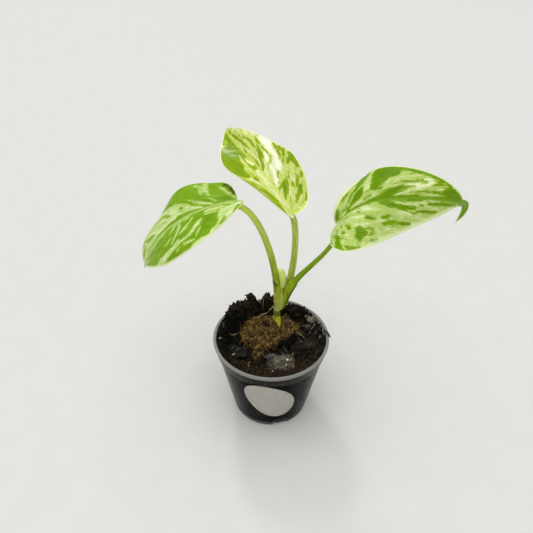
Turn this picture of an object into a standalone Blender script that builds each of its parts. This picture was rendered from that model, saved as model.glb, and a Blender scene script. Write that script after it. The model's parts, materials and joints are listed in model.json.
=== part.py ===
"""A young variegated monstera in a small clear nursery pot.

+Z is up and the origin is the centre of the pot's underside. The pot's front, with the label,
faces -Y. Everything is one standing object: nothing on it moves.
"""

import math

import bmesh
import bpy
import numpy as np
from mathutils import Matrix, Vector, noise

MM = 0.001

# The clearance that neighbouring pieces keep.
GAP = 0.3 * MM

# Points nearer to each other than this are one point.
WELD = 0.01 * MM

# The pot: a thin tapered wall with a flat rim, a stacking step under it and a flat floor.
RIM_RADIUS = 30.0 * MM
RIM_WIDTH = 1.5 * MM
RIM_DEPTH = 1.2 * MM
RIM_ROUND = 0.35 * MM
POT_HEIGHT = 47.6 * MM
STEP_HEIGHT = 41.0 * MM
STEP_RADIUS = 28.2 * MM
STEP_WIDTH = 0.5 * MM
BASE_RADIUS = 20.7 * MM
BASE_CHAMFER = 1.0 * MM
WALL = 0.8 * MM
FLOOR = 1.0 * MM
POT_SIDES = 48

# The drain notches at the foot, a quarter turn apart. The first is just right of the front.
NOTCH_COUNT = 4
NOTCH_TURN = 14.0
NOTCH_WIDTH = 7.6 * MM
NOTCH_HEIGHT = 4.0 * MM
NOTCH_INNER_RADIUS = 18.4 * MM
NOTCH_DEPTH = 5.0 * MM

# The oval label, wrapped round the wall and turned a little.
LABEL_ARC = -0.3 * MM
LABEL_CENTRE_HEIGHT = 25.3 * MM
LABEL_HALF_WIDTH = 11.3 * MM
LABEL_HALF_HEIGHT = 16.3 * MM
LABEL_TURN = 32.0
LABEL_THICKNESS = 0.25 * MM
LABEL_SIDES = 28
LABEL_RINGS = 3

# The potting mix: its level, its lumpiness, and the heaps along the back of the pot.
MIX_LEVEL = 41.8 * MM
MIX_SIDES = 44
MIX_TOP_RINGS = 10
MIX_WALL_RINGS = 5
MIX_BUMP = 1.3 * MM
MIX_GRAIN = 6.0 * MM
MIX_SEED = 50
# Each heap: x, y, spread and height above the level.
HEAPS = (
    (-22.0 * MM, 13.5 * MM, 3.6 * MM, 11.5 * MM),
    (-16.4 * MM, 19.0 * MM, 3.4 * MM, 10.0 * MM),
    (-9.8 * MM, 22.0 * MM, 2.5 * MM, 12.5 * MM),
    (-1.6 * MM, 23.0 * MM, 3.2 * MM, 12.5 * MM),
    (18.0 * MM, 20.0 * MM, 3.6 * MM, 8.0 * MM),
)
# Each band of clods: count, start and end angle, inner and outer radius, smallest and largest size.
CLOD_BANDS = (
    (16, 82.0, 160.0, 22.0 * MM, 25.0 * MM, 1.8 * MM, 3.0 * MM),
    (6, 28.0, 60.0, 22.0 * MM, 25.5 * MM, 1.4 * MM, 2.6 * MM),
    (15, 160.0, 250.0, 20.0 * MM, 25.5 * MM, 1.2 * MM, 2.4 * MM),
    (12, -105.0, 20.0, 19.0 * MM, 25.5 * MM, 1.1 * MM, 2.2 * MM),
)
CLOD_JITTER = 0.22
CLOD_SINK = 0.35

# The fibrous root plug: an uneven disc with a tail towards the front.
PLUG_X = -0.5 * MM
PLUG_Y = 5.5 * MM
PLUG_HALF_WIDTH = 15.6 * MM
PLUG_HALF_DEPTH = 11.6 * MM
PLUG_TAIL_TURN = -108.0
PLUG_TAIL_LENGTH = 9.5 * MM
PLUG_TAIL_SPREAD = 12.0
PLUG_RAGGED = 0.55 * MM
PLUG_RAGS = (7.0, 11.0)
PLUG_TOP = 45.6 * MM
PLUG_DOME = 1.4 * MM
PLUG_EDGE_ROUND = 2.2 * MM
PLUG_BUMP = 0.6 * MM
PLUG_GRAIN = 4.0 * MM
PLUG_BOTTOM = 26.0 * MM
PLUG_SIDES = 40
PLUG_TOP_RINGS = 8
PLUG_WALL_RINGS = 3
PLUG_SEED = 7

# Bark chips on the mix: x, y, height, the three half sizes, and turns about X, Y and Z.
BARK_CHIPS = {
    "bark_chip_front": (
        (4.4 * MM, -16.6 * MM, 43.2 * MM),
        (7.4 * MM, 5.0 * MM, 2.7 * MM),
        (16.0, -4.0, -8.0),
    ),
    "bark_chip_long": (
        (17.4 * MM, -4.6 * MM, 42.9 * MM),
        (8.8 * MM, 3.2 * MM, 2.2 * MM),
        (8.0, 2.0, 24.0),
    ),
    "bark_chip_right": (
        (20.4 * MM, 11.2 * MM, 43.2 * MM),
        (3.9 * MM, 2.7 * MM, 1.7 * MM),
        (-14.0, 4.0, 40.0),
    ),
    "bark_chip_left": (
        (-17.5 * MM, -8.2 * MM, 43.0 * MM),
        (6.2 * MM, 2.9 * MM, 1.8 * MM),
        (10.0, -6.0, -38.0),
    ),
}
CHIP_JITTER = 0.13
CHIP_SQUARENESS = 0.6
CHIP_SEED = 11

# The stem: a sheathed collar that carries the leaf stalks, on a short rooted base.
COLLAR_X = 5.0 * MM
COLLAR_Y = 12.9 * MM
COLLAR_HALF_WIDTH = 3.6 * MM
COLLAR_HALF_DEPTH = 4.6 * MM
COLLAR_BOTTOM = 56.0 * MM
COLLAR_TOP = 62.5 * MM
COLLAR_TAPER = 0.92
COLLAR_SIDES = 24
ROOT_RADIUS = 1.4 * MM
ROOT_BOTTOM = (5.2 * MM, 5.8 * MM, 36.0 * MM)
ROOT_TOP = (2.9 * MM, 11.4 * MM, 58.0 * MM)

# Each stalk: the four points that steer its curve, and its radius at equal steps from foot to tip.
STALK_STEPS = 20
STALKS = {
    "petiole_left": {
        "points": ((3.0, 10.2, 63.3), (3.5, 6.7, 78.9), (-4.1, 3.5, 118.2), (-16.0, -0.1, 120.9)),
        "radii": (1.5, 1.5, 1.4, 1.35, 1.3, 1.25),
    },
    "petiole_middle": {
        "points": ((7.2, 15.6, 63.4), (12.8, 11.6, 81.8), (11.3, 7.2, 113.8), (7.5, 3.3, 114.6)),
        "radii": (1.3, 1.45, 1.4, 1.35, 1.3, 1.3),
    },
    "petiole_right": {
        "points": ((6.7, 10.3, 63.3), (9.1, 7.4, 81.6), (27.4, 4.3, 90.6), (30.6, 1.2, 111.9)),
        "radii": (1.7, 2.1, 1.45, 1.2, 1.1, 1.1, 1.15),
    },
    "new_leaf": {
        "points": ((5.6, 13.4, 62.8), (6.2, 13.2, 68.5), (5.6, 12.7, 76.0), (4.0, 12.4, 80.0)),
        "radii": (0.75, 1.4, 1.8, 1.8, 1.3, 0.45),
    },
}

# Leaf blades. Lengths are in millimetres and angles in degrees. The midrib starts at base and
# heads along azimuth and elevation, bends by arch (up and down) and sway (sideways), each given
# at the base and the tip as the bend over the whole length, and twists. tip is the drip tip's
# length and half width, and tip_bend its bend up and to the left. Each half is named for the
# side it lies on, seen along the midrib with the upper face up. It is widest at a share of the
# length, its lobe reaches back past the stalk, and fold is how far it is raised from the midrib
# at the base and the tip, with ear more at the lobe, cup how far it curls over its width, and
# wave its margin's height, number of waves and phase.
BLADE_THICKNESS = 0.7 * MM
BLADE_ROWS = 26
BLADE_COLUMNS = 6
TIP_ROWS = 6
MIDRIB_STEPS = 40
# The rows before this share of the blade fan out from the stalk, and spread by a power after it.
LOBE_SPAN = 0.22
ROW_POWER = 1.15
EAR_SPAN = 0.2
# How far the notch's curve reaches back and out, as shares of the lobe and of the half's width.
NOTCH_BACK = 1.6
NOTCH_OUT = 0.12
LEAVES = {
    "leaf_left": {
        "base": (-15.2, -0.7, 123.2),
        "length": 61.8,
        "azimuth": 182.9,
        "elevation": -9.1,
        "roll": -19.0,
        "arch": (-57.0, -74.3),
        "sway": (7.4, 6.3),
        "twist": -5.0,
        "tip": (2.0, 0.5),
        "tip_bend": (-20.0, 0.0),
        "left": {
            "width": 18.9,
            "lobe": 6.0,
            "widest": 0.39,
            "lobe_round": 0.72,
            "side_round": 0.51,
            "point": (0.14, 0.80),
            "fold": (16.6, 3.0),
            "ear": 15.0,
            "cup": -25.8,
            "wave": (0.47, 2.23, 0.31),
        },
        "right": {
            "width": 18.9,
            "lobe": 1.7,
            "widest": 0.38,
            "lobe_round": 0.65,
            "side_round": 0.33,
            "point": (0.14, 0.91),
            "fold": (23.4, 13.2),
            "ear": 7.7,
            "cup": -43.5,
            "wave": (1.63, 2.66, -0.16),
        },
    },
    "leaf_middle": {
        "base": (8.6, 1.7, 116.0),
        "length": 60.7,
        "azimuth": 129.0,
        "elevation": 37.9,
        "roll": -8.2,
        "arch": (-36.3, -29.7),
        "sway": (17.1, -18.9),
        "twist": -44.3,
        "tip": (2.2, 0.5),
        "tip_bend": (-20.0, 0.0),
        "left": {
            "width": 17.4,
            "lobe": 4.3,
            "widest": 0.33,
            "lobe_round": 0.57,
            "side_round": 0.36,
            "point": (0.14, 0.62),
            "fold": (27.2, 6.3),
            "ear": 4.1,
            "cup": 40.8,
            "wave": (0.43, 2.23, 0.30),
        },
        "right": {
            "width": 15.7,
            "lobe": 1.6,
            "widest": 0.35,
            "lobe_round": 0.94,
            "side_round": 0.10,
            "point": (0.14, 1.01),
            "fold": (15.0, 11.5),
            "ear": 6.7,
            "cup": -16.8,
            "wave": (1.29, 2.30, 0.00),
        },
    },
    "leaf_right": {
        "base": (28.3, 1.1, 112.6),
        "length": 57.0,
        "azimuth": -29.2,
        "elevation": 59.7,
        "roll": 27.4,
        "arch": (-98.7, -112.1),
        "sway": (-56.0, -5.7),
        "twist": 67.3,
        "tip": (17.5, 1.7),
        "tip_bend": (-10.0, -115.0),
        "left": {
            "width": 16.9,
            "lobe": 5.6,
            "widest": 0.27,
            "lobe_round": 0.48,
            "side_round": 0.05,
            "point": (0.15, 0.99),
            "fold": (25.5, -0.3),
            "ear": -2.9,
            "cup": -57.6,
            "wave": (1.13, 2.54, 0.56),
        },
        "right": {
            "width": 19.1,
            "lobe": 7.7,
            "widest": 0.05,
            "lobe_round": 0.55,
            "side_round": 0.41,
            "point": (0.13, 0.51),
            "fold": (13.2, -9.7),
            "ear": 0.2,
            "cup": -32.6,
            "wave": (0.75, 2.43, 0.22),
        },
    },
}


def clear_scene():
    for thing in list(bpy.data.objects):
        bpy.data.objects.remove(thing, do_unlink=True)


def make_collection(name, hidden=False):
    collection = bpy.data.collections.new(name)
    collection.hide_render = hidden
    bpy.context.scene.collection.children.link(collection)
    return collection


def make_material(name, colour, roughness, metallic=0.0):
    material = bpy.data.materials.new(name)
    material.use_nodes = True
    shader = material.node_tree.nodes["Principled BSDF"]
    shader.inputs["Base Color"].default_value = (*colour, 1.0)
    shader.inputs["Roughness"].default_value = roughness
    shader.inputs["Metallic"].default_value = metallic
    return material


def add_object(name, mesh, collection, material=None, smooth_angle=None):
    thing = bpy.data.objects.new(name, mesh)
    collection.objects.link(thing)
    if material:
        mesh.materials.append(material)
    if smooth_angle is not None:
        mesh.shade_smooth()
        mesh.set_sharp_from_angle(angle=math.radians(smooth_angle))
    return thing


def add_cutter(name, mesh, collection):
    cutter = add_object(name, mesh, collection)
    cutter.hide_render = True
    cutter.display_type = "WIRE"
    return cutter


def mesh_from(name, build):
    """Runs build on an empty bmesh and returns the mesh that it leaves."""
    shape = bmesh.new()
    build(shape)
    mesh = bpy.data.meshes.new(name)
    shape.to_mesh(mesh)
    shape.free()
    return mesh


def evaluated_mesh(thing):
    """The object's shape after its modifiers, as a mesh of its own in world space."""
    graph = bpy.context.evaluated_depsgraph_get()
    mesh = bpy.data.meshes.new_from_object(thing.evaluated_get(graph))
    mesh.transform(thing.matrix_world)
    return mesh


def cut(thing, cutter):
    modifier = thing.modifiers.new(f"cut by {cutter.name}", "BOOLEAN")
    modifier.operation = "DIFFERENCE"
    modifier.solver = "EXACT"
    modifier.object = cutter


def largest_body(mesh):
    """Keeps only the largest joined body of a mesh, by its number of vertices."""
    shape = bmesh.new()
    shape.from_mesh(mesh)
    unseen = set(shape.verts)
    bodies = []
    while unseen:
        front = [unseen.pop()]
        body = set(front)
        while front:
            vertex = front.pop()
            near = {edge.other_vert(vertex) for edge in vertex.link_edges} - body
            body |= near
            front.extend(near)
        unseen -= body
        bodies.append(body)
    bodies.sort(key=len)
    scraps = [vertex for body in bodies[:-1] for vertex in body]
    bmesh.ops.delete(shape, geom=scraps, context="VERTS")
    shape.to_mesh(mesh)
    shape.free()


def wall_radius(height):
    """The outer radius of the pot's wall at a height, below and above the step."""
    slope = (STEP_RADIUS - BASE_RADIUS) / STEP_HEIGHT
    radius = BASE_RADIUS + slope * height
    if height > STEP_HEIGHT:
        radius += STEP_WIDTH
    return radius


def inside_radius(height):
    """How far loose contents reach inside the pot at a height. The step's extra room stays free."""
    slope = (STEP_RADIUS - BASE_RADIUS) / STEP_HEIGHT
    return BASE_RADIUS + slope * min(height, POT_HEIGHT) - WALL - GAP


def pot_profile():
    """The pot's section: along the floor, up the inside, over the rim and down the outside."""
    top = wall_radius(POT_HEIGHT - RIM_DEPTH)
    step_top = STEP_HEIGHT + STEP_WIDTH
    return (
        (0.0, FLOOR),
        (wall_radius(FLOOR) - WALL, FLOOR),
        (wall_radius(STEP_HEIGHT) - WALL, STEP_HEIGHT),
        (wall_radius(step_top) - WALL, step_top),
        (RIM_RADIUS - RIM_WIDTH, POT_HEIGHT - RIM_ROUND),
        (RIM_RADIUS - RIM_WIDTH + RIM_ROUND, POT_HEIGHT),
        (RIM_RADIUS - RIM_ROUND, POT_HEIGHT),
        (RIM_RADIUS, POT_HEIGHT - RIM_ROUND),
        (RIM_RADIUS, POT_HEIGHT - RIM_DEPTH + RIM_ROUND),
        (RIM_RADIUS - RIM_ROUND, POT_HEIGHT - RIM_DEPTH),
        (top, POT_HEIGHT - RIM_DEPTH),
        (wall_radius(step_top), step_top),
        (wall_radius(STEP_HEIGHT), STEP_HEIGHT),
        (wall_radius(BASE_CHAMFER), BASE_CHAMFER),
        (BASE_RADIUS - BASE_CHAMFER / 2, 0.0),
        (0.0, 0.0),
    )


def make_pot(parts, cutters, material):
    profile = bpy.data.meshes.new("pot")
    points = [(radius, 0.0, height) for radius, height in pot_profile()]
    edges = [(i, i + 1) for i in range(len(points) - 1)]
    profile.from_pydata(points, edges, [])
    pot = add_object("pot", profile, parts, material)
    turn = pot.modifiers.new("turn", "SCREW")
    turn.axis = "Z"
    turn.angle = math.tau
    turn.steps = POT_SIDES
    turn.render_steps = POT_SIDES
    turn.use_merge_vertices = True
    turn.merge_threshold = WELD
    turn.use_smooth_shade = False
    size = (NOTCH_DEPTH, NOTCH_WIDTH, 2 * NOTCH_HEIGHT)
    middle = NOTCH_INNER_RADIUS + NOTCH_DEPTH / 2
    for i in range(NOTCH_COUNT):
        angle = math.radians(NOTCH_TURN - 90.0 + i * 360.0 / NOTCH_COUNT)
        place = Matrix.Rotation(angle, 4, "Z") @ Matrix.Translation((middle, 0.0, 0.0))
        place = place @ Matrix.Diagonal((*size, 1.0))
        box = mesh_from(f"notch_{i}", lambda shape: bmesh.ops.create_cube(shape, matrix=place))
        cut(pot, add_cutter(f"notch_{i}", box, cutters))
    return pot


def make_label(parts, material):
    """An ellipse drawn on the unrolled wall, then wrapped round it."""
    radius = wall_radius(LABEL_CENTRE_HEIGHT)
    slope = math.atan2(STEP_RADIUS - BASE_RADIUS, STEP_HEIGHT)
    turn = math.radians(LABEL_TURN)

    def wrap(shape):
        bmesh.ops.create_grid(shape, x_segments=LABEL_SIDES, y_segments=LABEL_RINGS, size=1.0)
        for vertex in shape.verts:
            angle = (vertex.co.x + 1.0) * math.pi
            reach = (vertex.co.y + 1.0) / 2.0
            across = LABEL_HALF_WIDTH * reach * math.cos(angle)
            along = LABEL_HALF_HEIGHT * reach * math.sin(angle)
            arc = LABEL_ARC + across * math.cos(turn) - along * math.sin(turn)
            rise = across * math.sin(turn) + along * math.cos(turn)
            height = LABEL_CENTRE_HEIGHT + rise * math.cos(slope)
            out = wall_radius(height) + GAP
            bearing = arc / radius
            vertex.co = (out * math.sin(bearing), -out * math.cos(bearing), height)
        bmesh.ops.remove_doubles(shape, verts=shape.verts, dist=WELD)
        bmesh.ops.recalc_face_normals(shape, faces=shape.faces)
        front = min(shape.faces, key=lambda face: face.calc_center_median().y)
        if front.normal.y > 0.0:
            bmesh.ops.reverse_faces(shape, faces=shape.faces)
        bmesh.ops.triangulate(shape, faces=shape.faces)

    label = add_object("label", mesh_from("label", wrap), parts, material)
    sheet = label.modifiers.new("sheet", "SOLIDIFY")
    sheet.thickness = LABEL_THICKNESS
    sheet.offset = 1.0
    return label


def lumpy(x, y, size, seed):
    """A smooth random height between about -1 and 1, the same on each run."""
    place = Vector((x / size, y / size, float(seed)))
    return noise.noise(place) + 0.5 * noise.noise(2.3 * place)


def mix_height(x, y):
    height = MIX_LEVEL + MIX_BUMP * lumpy(x, y, MIX_GRAIN, MIX_SEED)
    for heap_x, heap_y, spread, rise in HEAPS:
        distance = (x - heap_x) ** 2 + (y - heap_y) ** 2
        height += rise * math.exp(-distance / (2.0 * spread * spread))
    return height


def ringed_body(shape, sides, rings, place):
    """A closed ball of rings, top to bottom, whose points are moved to place(ring, angle)."""
    bmesh.ops.create_uvsphere(shape, u_segments=sides, v_segments=rings + 1, radius=1.0)
    for vertex in shape.verts:
        ring = round(math.acos(max(-1.0, min(1.0, vertex.co.z))) / math.pi * (rings + 1))
        vertex.co = place(ring, math.atan2(vertex.co.y, vertex.co.x))


def mix_point(ring, angle):
    edge = inside_radius(POT_HEIGHT)
    x = edge * math.cos(angle)
    y = edge * math.sin(angle)
    top = mix_height(x, y)
    bottom = FLOOR + GAP
    if ring <= MIX_TOP_RINGS:
        reach = inside_radius(top) * ring / MIX_TOP_RINGS
        x = reach * math.cos(angle)
        y = reach * math.sin(angle)
        return (x, y, top if ring == MIX_TOP_RINGS else mix_height(x, y))
    down = (ring - MIX_TOP_RINGS) / MIX_WALL_RINGS
    if ring > MIX_TOP_RINGS + MIX_WALL_RINGS:
        return (0.0, 0.0, bottom)
    height = top + (bottom - top) * down
    reach = inside_radius(height)
    return (reach * math.cos(angle), reach * math.sin(angle), height)


def add_clod(shape, random, band):
    """One small jagged lump, seated in the mix."""
    start, end, near, far, small, large = band
    angle = math.radians(random.uniform(start, end))
    size = random.uniform(small, large)
    reach = min(random.uniform(near, far), inside_radius(POT_HEIGHT) - size * (1.0 + CLOD_JITTER))
    x = reach * math.cos(angle)
    y = reach * math.sin(angle)
    middle = Vector((x, y, mix_height(x, y) + size * CLOD_SINK))
    turn = Matrix.Rotation(random.uniform(0.0, math.tau), 4, random.normal(size=3))
    made = bmesh.ops.create_icosphere(shape, subdivisions=1, radius=size)
    for vertex in made["verts"]:
        stretch = 1.0 + CLOD_JITTER * random.uniform(-1.0, 1.0)
        vertex.co = middle + turn @ (vertex.co * stretch)


def make_mix(parts, cutters, material):
    """The heaped mix, with its clods joined on."""
    random = np.random.default_rng(MIX_SEED)
    rings = MIX_TOP_RINGS + MIX_WALL_RINGS
    body = mesh_from("potting_mix", lambda shape: ringed_body(shape, MIX_SIDES, rings, mix_point))
    mix = add_object("potting_mix", body, parts, material)
    clods = make_collection("clods")
    for count, *band in CLOD_BANDS:
        for _ in range(count):
            mesh = mesh_from("clod", lambda shape: add_clod(shape, random, band))
            add_object("clod", mesh, clods)
    join = mix.modifiers.new("join", "BOOLEAN")
    join.operation = "UNION"
    join.operand_type = "COLLECTION"
    join.collection = clods
    join.solver = "MANIFOLD"
    cut(mix, plug_cutter(cutters))
    for name in BARK_CHIPS:
        cut(mix, add_cutter(f"{name}_seat", chip_mesh(name, GAP), cutters))
    mesh = evaluated_mesh(mix)
    largest_body(mesh)
    mix.modifiers.clear()
    mix.data = mesh
    for clod in list(clods.objects):
        bpy.data.objects.remove(clod, do_unlink=True)
    bpy.data.collections.remove(clods)
    return mix


def plug_reach(angle, margin=0.0):
    """The plug's outline: an oval with a ragged edge and the tail's bulge."""
    oval = 1.0 / math.hypot(math.cos(angle) / PLUG_HALF_WIDTH, math.sin(angle) / PLUG_HALF_DEPTH)
    turn = math.radians(PLUG_TAIL_TURN)
    off = math.atan2(math.sin(angle - turn), math.cos(angle - turn)) / math.radians(PLUG_TAIL_SPREAD)
    ragged = PLUG_RAGGED * sum(math.sin(count * angle + count) for count in PLUG_RAGS)
    return oval + PLUG_TAIL_LENGTH * math.exp(-off * off) + ragged + margin


def plug_point(ring, angle):
    outline = plug_reach(angle)
    if ring <= PLUG_TOP_RINGS:
        part = ring / PLUG_TOP_RINGS
        reach = outline * math.sin(part * math.pi / 2.0)
        x = PLUG_X + reach * math.cos(angle)
        y = PLUG_Y + reach * math.sin(angle)
        drop = PLUG_EDGE_ROUND * part**6
        bump = PLUG_BUMP * lumpy(x, y, PLUG_GRAIN, PLUG_SEED) * (1.0 - part**4)
        return (x, y, PLUG_TOP + PLUG_DOME * (1.0 - part * part) - drop + bump)
    if ring > PLUG_TOP_RINGS + PLUG_WALL_RINGS:
        return (PLUG_X, PLUG_Y, PLUG_BOTTOM)
    down = (ring - PLUG_TOP_RINGS) / PLUG_WALL_RINGS
    top = PLUG_TOP - PLUG_EDGE_ROUND
    x = PLUG_X + outline * math.cos(angle)
    y = PLUG_Y + outline * math.sin(angle)
    return (x, y, top + (PLUG_BOTTOM - top) * down)


def plug_cutter(cutters):
    """The plain hole that the plug stands in: its outline, a gap wider, open at the top."""

    def prism(shape):
        bmesh.ops.create_cone(
            shape, cap_ends=True, segments=PLUG_SIDES, radius1=1.0, radius2=1.0, depth=1.0
        )
        for vertex in shape.verts:
            angle = math.atan2(vertex.co.y, vertex.co.x)
            reach = plug_reach(angle, GAP)
            height = PLUG_BOTTOM - GAP if vertex.co.z < 0.0 else COLLAR_TOP
            x = PLUG_X + reach * math.cos(angle)
            y = PLUG_Y + reach * math.sin(angle)
            vertex.co = (x, y, height)

    return add_cutter("plug_hole", mesh_from("plug_hole", prism), cutters)


def make_plug(parts, cutters, material):
    rings = PLUG_TOP_RINGS + PLUG_WALL_RINGS
    body = mesh_from("root_plug", lambda shape: ringed_body(shape, PLUG_SIDES, rings, plug_point))
    plug = add_object("root_plug", body, parts, material)
    hole = tube_mesh("root_hole", (ROOT_BOTTOM, ROOT_TOP), (ROOT_RADIUS + GAP,) * 2, GAP)
    cut(plug, add_cutter("root_hole", hole, cutters))
    return plug


def chip_mesh(name, margin=0.0):
    """A rough convex lump of bark, or with a margin the seat that it lies in."""
    place, half_sizes, turns = BARK_CHIPS[name]
    random = np.random.default_rng(CHIP_SEED + list(BARK_CHIPS).index(name))
    turn = Matrix.Identity(4)
    for angle, axis in zip(turns, "XYZ"):
        turn = Matrix.Rotation(math.radians(angle), 4, axis) @ turn

    def lump(shape):
        bmesh.ops.create_icosphere(shape, subdivisions=2, radius=1.0)
        for vertex in shape.verts:
            squared = Vector([math.copysign(abs(value) ** CHIP_SQUARENESS, value) for value in vertex.co])
            stretch = 1.0 + CHIP_JITTER * random.uniform(-1.0, 1.0)
            vertex.co = Vector([a * b * stretch for a, b in zip(squared, half_sizes)])
        shape.normal_update()
        outward = [vertex.normal * margin for vertex in shape.verts]
        for vertex, step in zip(shape.verts, outward):
            vertex.co = turn @ (vertex.co + step) + Vector(place)

    return mesh_from(name, lump)


def curve_points(points, steps):
    """Points along the cubic curve that four points steer."""
    a, b, c, d = (Vector(point) for point in points)
    for i in range(steps + 1):
        t = i / steps
        s = 1.0 - t
        yield a * s**3 + b * 3.0 * s * s * t + c * 3.0 * s * t * t + d * t**3


def tube_mesh(name, points, radii, overrun=0.0):
    """A round rod along points, as a closed mesh, with its ends carried on by overrun."""
    points = [Vector(point) for point in points]
    points[0] = points[0] + (points[0] - points[1]).normalized() * overrun
    points[-1] = points[-1] + (points[-1] - points[-2]).normalized() * overrun
    curve = bpy.data.curves.new(name, "CURVE")
    curve.dimensions = "3D"
    curve.bevel_depth = 1.0
    curve.bevel_resolution = 3
    curve.use_fill_caps = True
    spline = curve.splines.new("POLY")
    spline.points.add(len(points) - 1)
    steps = np.linspace(0.0, 1.0, len(points))
    widths = np.interp(steps, np.linspace(0.0, 1.0, len(radii)), radii)
    for target, point, width in zip(spline.points, points, widths):
        target.co = (*point, 1.0)
        target.radius = width
    guide = bpy.data.objects.new(name, curve)
    bpy.context.scene.collection.objects.link(guide)
    mesh = evaluated_mesh(guide)
    bpy.data.objects.remove(guide, do_unlink=True)
    shape = bmesh.new()
    shape.from_mesh(mesh)
    bmesh.ops.remove_doubles(shape, verts=shape.verts, dist=WELD)
    bmesh.ops.recalc_face_normals(shape, faces=shape.faces)
    shape.to_mesh(mesh)
    shape.free()
    return mesh


def make_stem(parts, cutters, material):
    """The collar and its rooted base, joined in one body."""
    middle = Vector((COLLAR_X, COLLAR_Y, (COLLAR_BOTTOM + COLLAR_TOP) / 2.0))
    size = (COLLAR_HALF_WIDTH, COLLAR_HALF_DEPTH, COLLAR_TOP - COLLAR_BOTTOM, 1.0)
    place = Matrix.Translation(middle) @ Matrix.Diagonal(size)
    collar = mesh_from(
        "stem",
        lambda shape: bmesh.ops.create_cone(
            shape,
            cap_ends=True,
            segments=COLLAR_SIDES,
            radius1=COLLAR_TAPER,
            radius2=1.0,
            depth=1.0,
            matrix=place,
        ),
    )
    stem = add_object("stem", collar, parts, material)
    root = add_cutter("root", tube_mesh("root", (ROOT_BOTTOM, ROOT_TOP), (ROOT_RADIUS,) * 2), cutters)
    join = stem.modifiers.new("join", "BOOLEAN")
    join.operation = "UNION"
    join.solver = "EXACT"
    join.object = root
    return stem


def make_stalk(name, parts, material):
    stalk = STALKS[name]
    steering = [[value * MM for value in point] for point in stalk["points"]]
    radii = [radius * MM for radius in stalk["radii"]]
    mesh = tube_mesh(name, list(curve_points(steering, STALK_STEPS)), radii)
    return add_object(name, mesh, parts, material, smooth_angle=40.0)


def midrib(leaf):
    """Stations along the midrib: distance, point, and the forward, left and up directions."""
    azimuth = math.radians(leaf["azimuth"])
    elevation = math.radians(leaf["elevation"])
    flat = Vector((math.cos(azimuth), math.sin(azimuth), 0.0))
    forward = flat * math.cos(elevation) + Vector((0.0, 0.0, math.sin(elevation)))
    left = Vector((-math.sin(azimuth), math.cos(azimuth), 0.0))
    roll = Matrix.Rotation(math.radians(leaf["roll"]), 3, forward)
    left = roll @ left
    length = leaf["length"]
    step = length / MIDRIB_STEPS
    behind = -NOTCH_BACK * max(leaf["left"]["lobe"], leaf["right"]["lobe"])
    start = (0.0, Vector(leaf["base"]), forward, left, forward.cross(left))
    back = walk(leaf, start, -step, behind)
    ahead = walk(leaf, start, step, length + leaf["tip"][0])
    stations = back[::-1] + [start] + ahead
    return [np.array([station[i] for station in stations]) for i in range(5)]


def walk(leaf, start, step, end):
    """Steps along the bending, twisting midrib from start until its distance passes end."""
    length = leaf["length"]
    distance, point, forward, left, up = start
    stations = []
    while (distance - end) * step < 0.0:
        part = min(max((distance + step / 2.0) / length, 0.0), 1.0)
        arch = leaf["arch"][0] * (1.0 - part) + leaf["arch"][1] * part
        sway = leaf["sway"][0] * (1.0 - part) + leaf["sway"][1] * part
        share = step / length
        if distance >= length:
            arch, sway = (angle * length / leaf["tip"][0] for angle in leaf["tip_bend"])
        point = point + forward * step
        bend = Matrix.Rotation(math.radians(-arch * share), 3, left)
        forward = bend @ forward
        up = bend @ up
        swing = Matrix.Rotation(math.radians(sway * share), 3, up)
        forward = swing @ forward
        left = swing @ left
        spin = Matrix.Rotation(math.radians(leaf["twist"] * share), 3, forward)
        left = spin @ left
        up = spin @ up
        distance += step
        stations.append((distance, point, forward, left, up))
    return stations


def cubic(a, b, c, d, t):
    s = 1.0 - t
    return a * s**3 + b * 3.0 * s * s * t + c * 3.0 * s * t * t + d * t**3


def half_outline(leaf, side, row):
    """A half's edge at a row, as distance along and across the midrib, from notch to tip."""
    length = leaf["length"]
    half = leaf[side]
    widest = np.array((half["widest"] * length, half["width"]))
    notch = np.array((0.0, 0.0))
    tip_length, tip_width = leaf["tip"]
    end = np.array((length, tip_width))
    turn = BLADE_ROWS // 2
    if row <= turn:
        before = np.array((-NOTCH_BACK * half["lobe"], NOTCH_OUT * half["width"]))
        after = widest - np.array(((widest[0] + half["lobe"]) * half["lobe_round"], 0.0))
        return cubic(notch, before, after, widest, row / turn)
    if row <= BLADE_ROWS:
        before = widest + np.array(((length - widest[0]) * half["side_round"], 0.0))
        reach, slope = half["point"]
        after = end + length * reach * np.array((-1.0, slope))
        return cubic(widest, before, after, end, (row - turn) / (BLADE_ROWS - turn))
    part = (row - BLADE_ROWS) / TIP_ROWS
    return np.array((length + tip_length * part, tip_width * math.sqrt(1.0 - part)))


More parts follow.
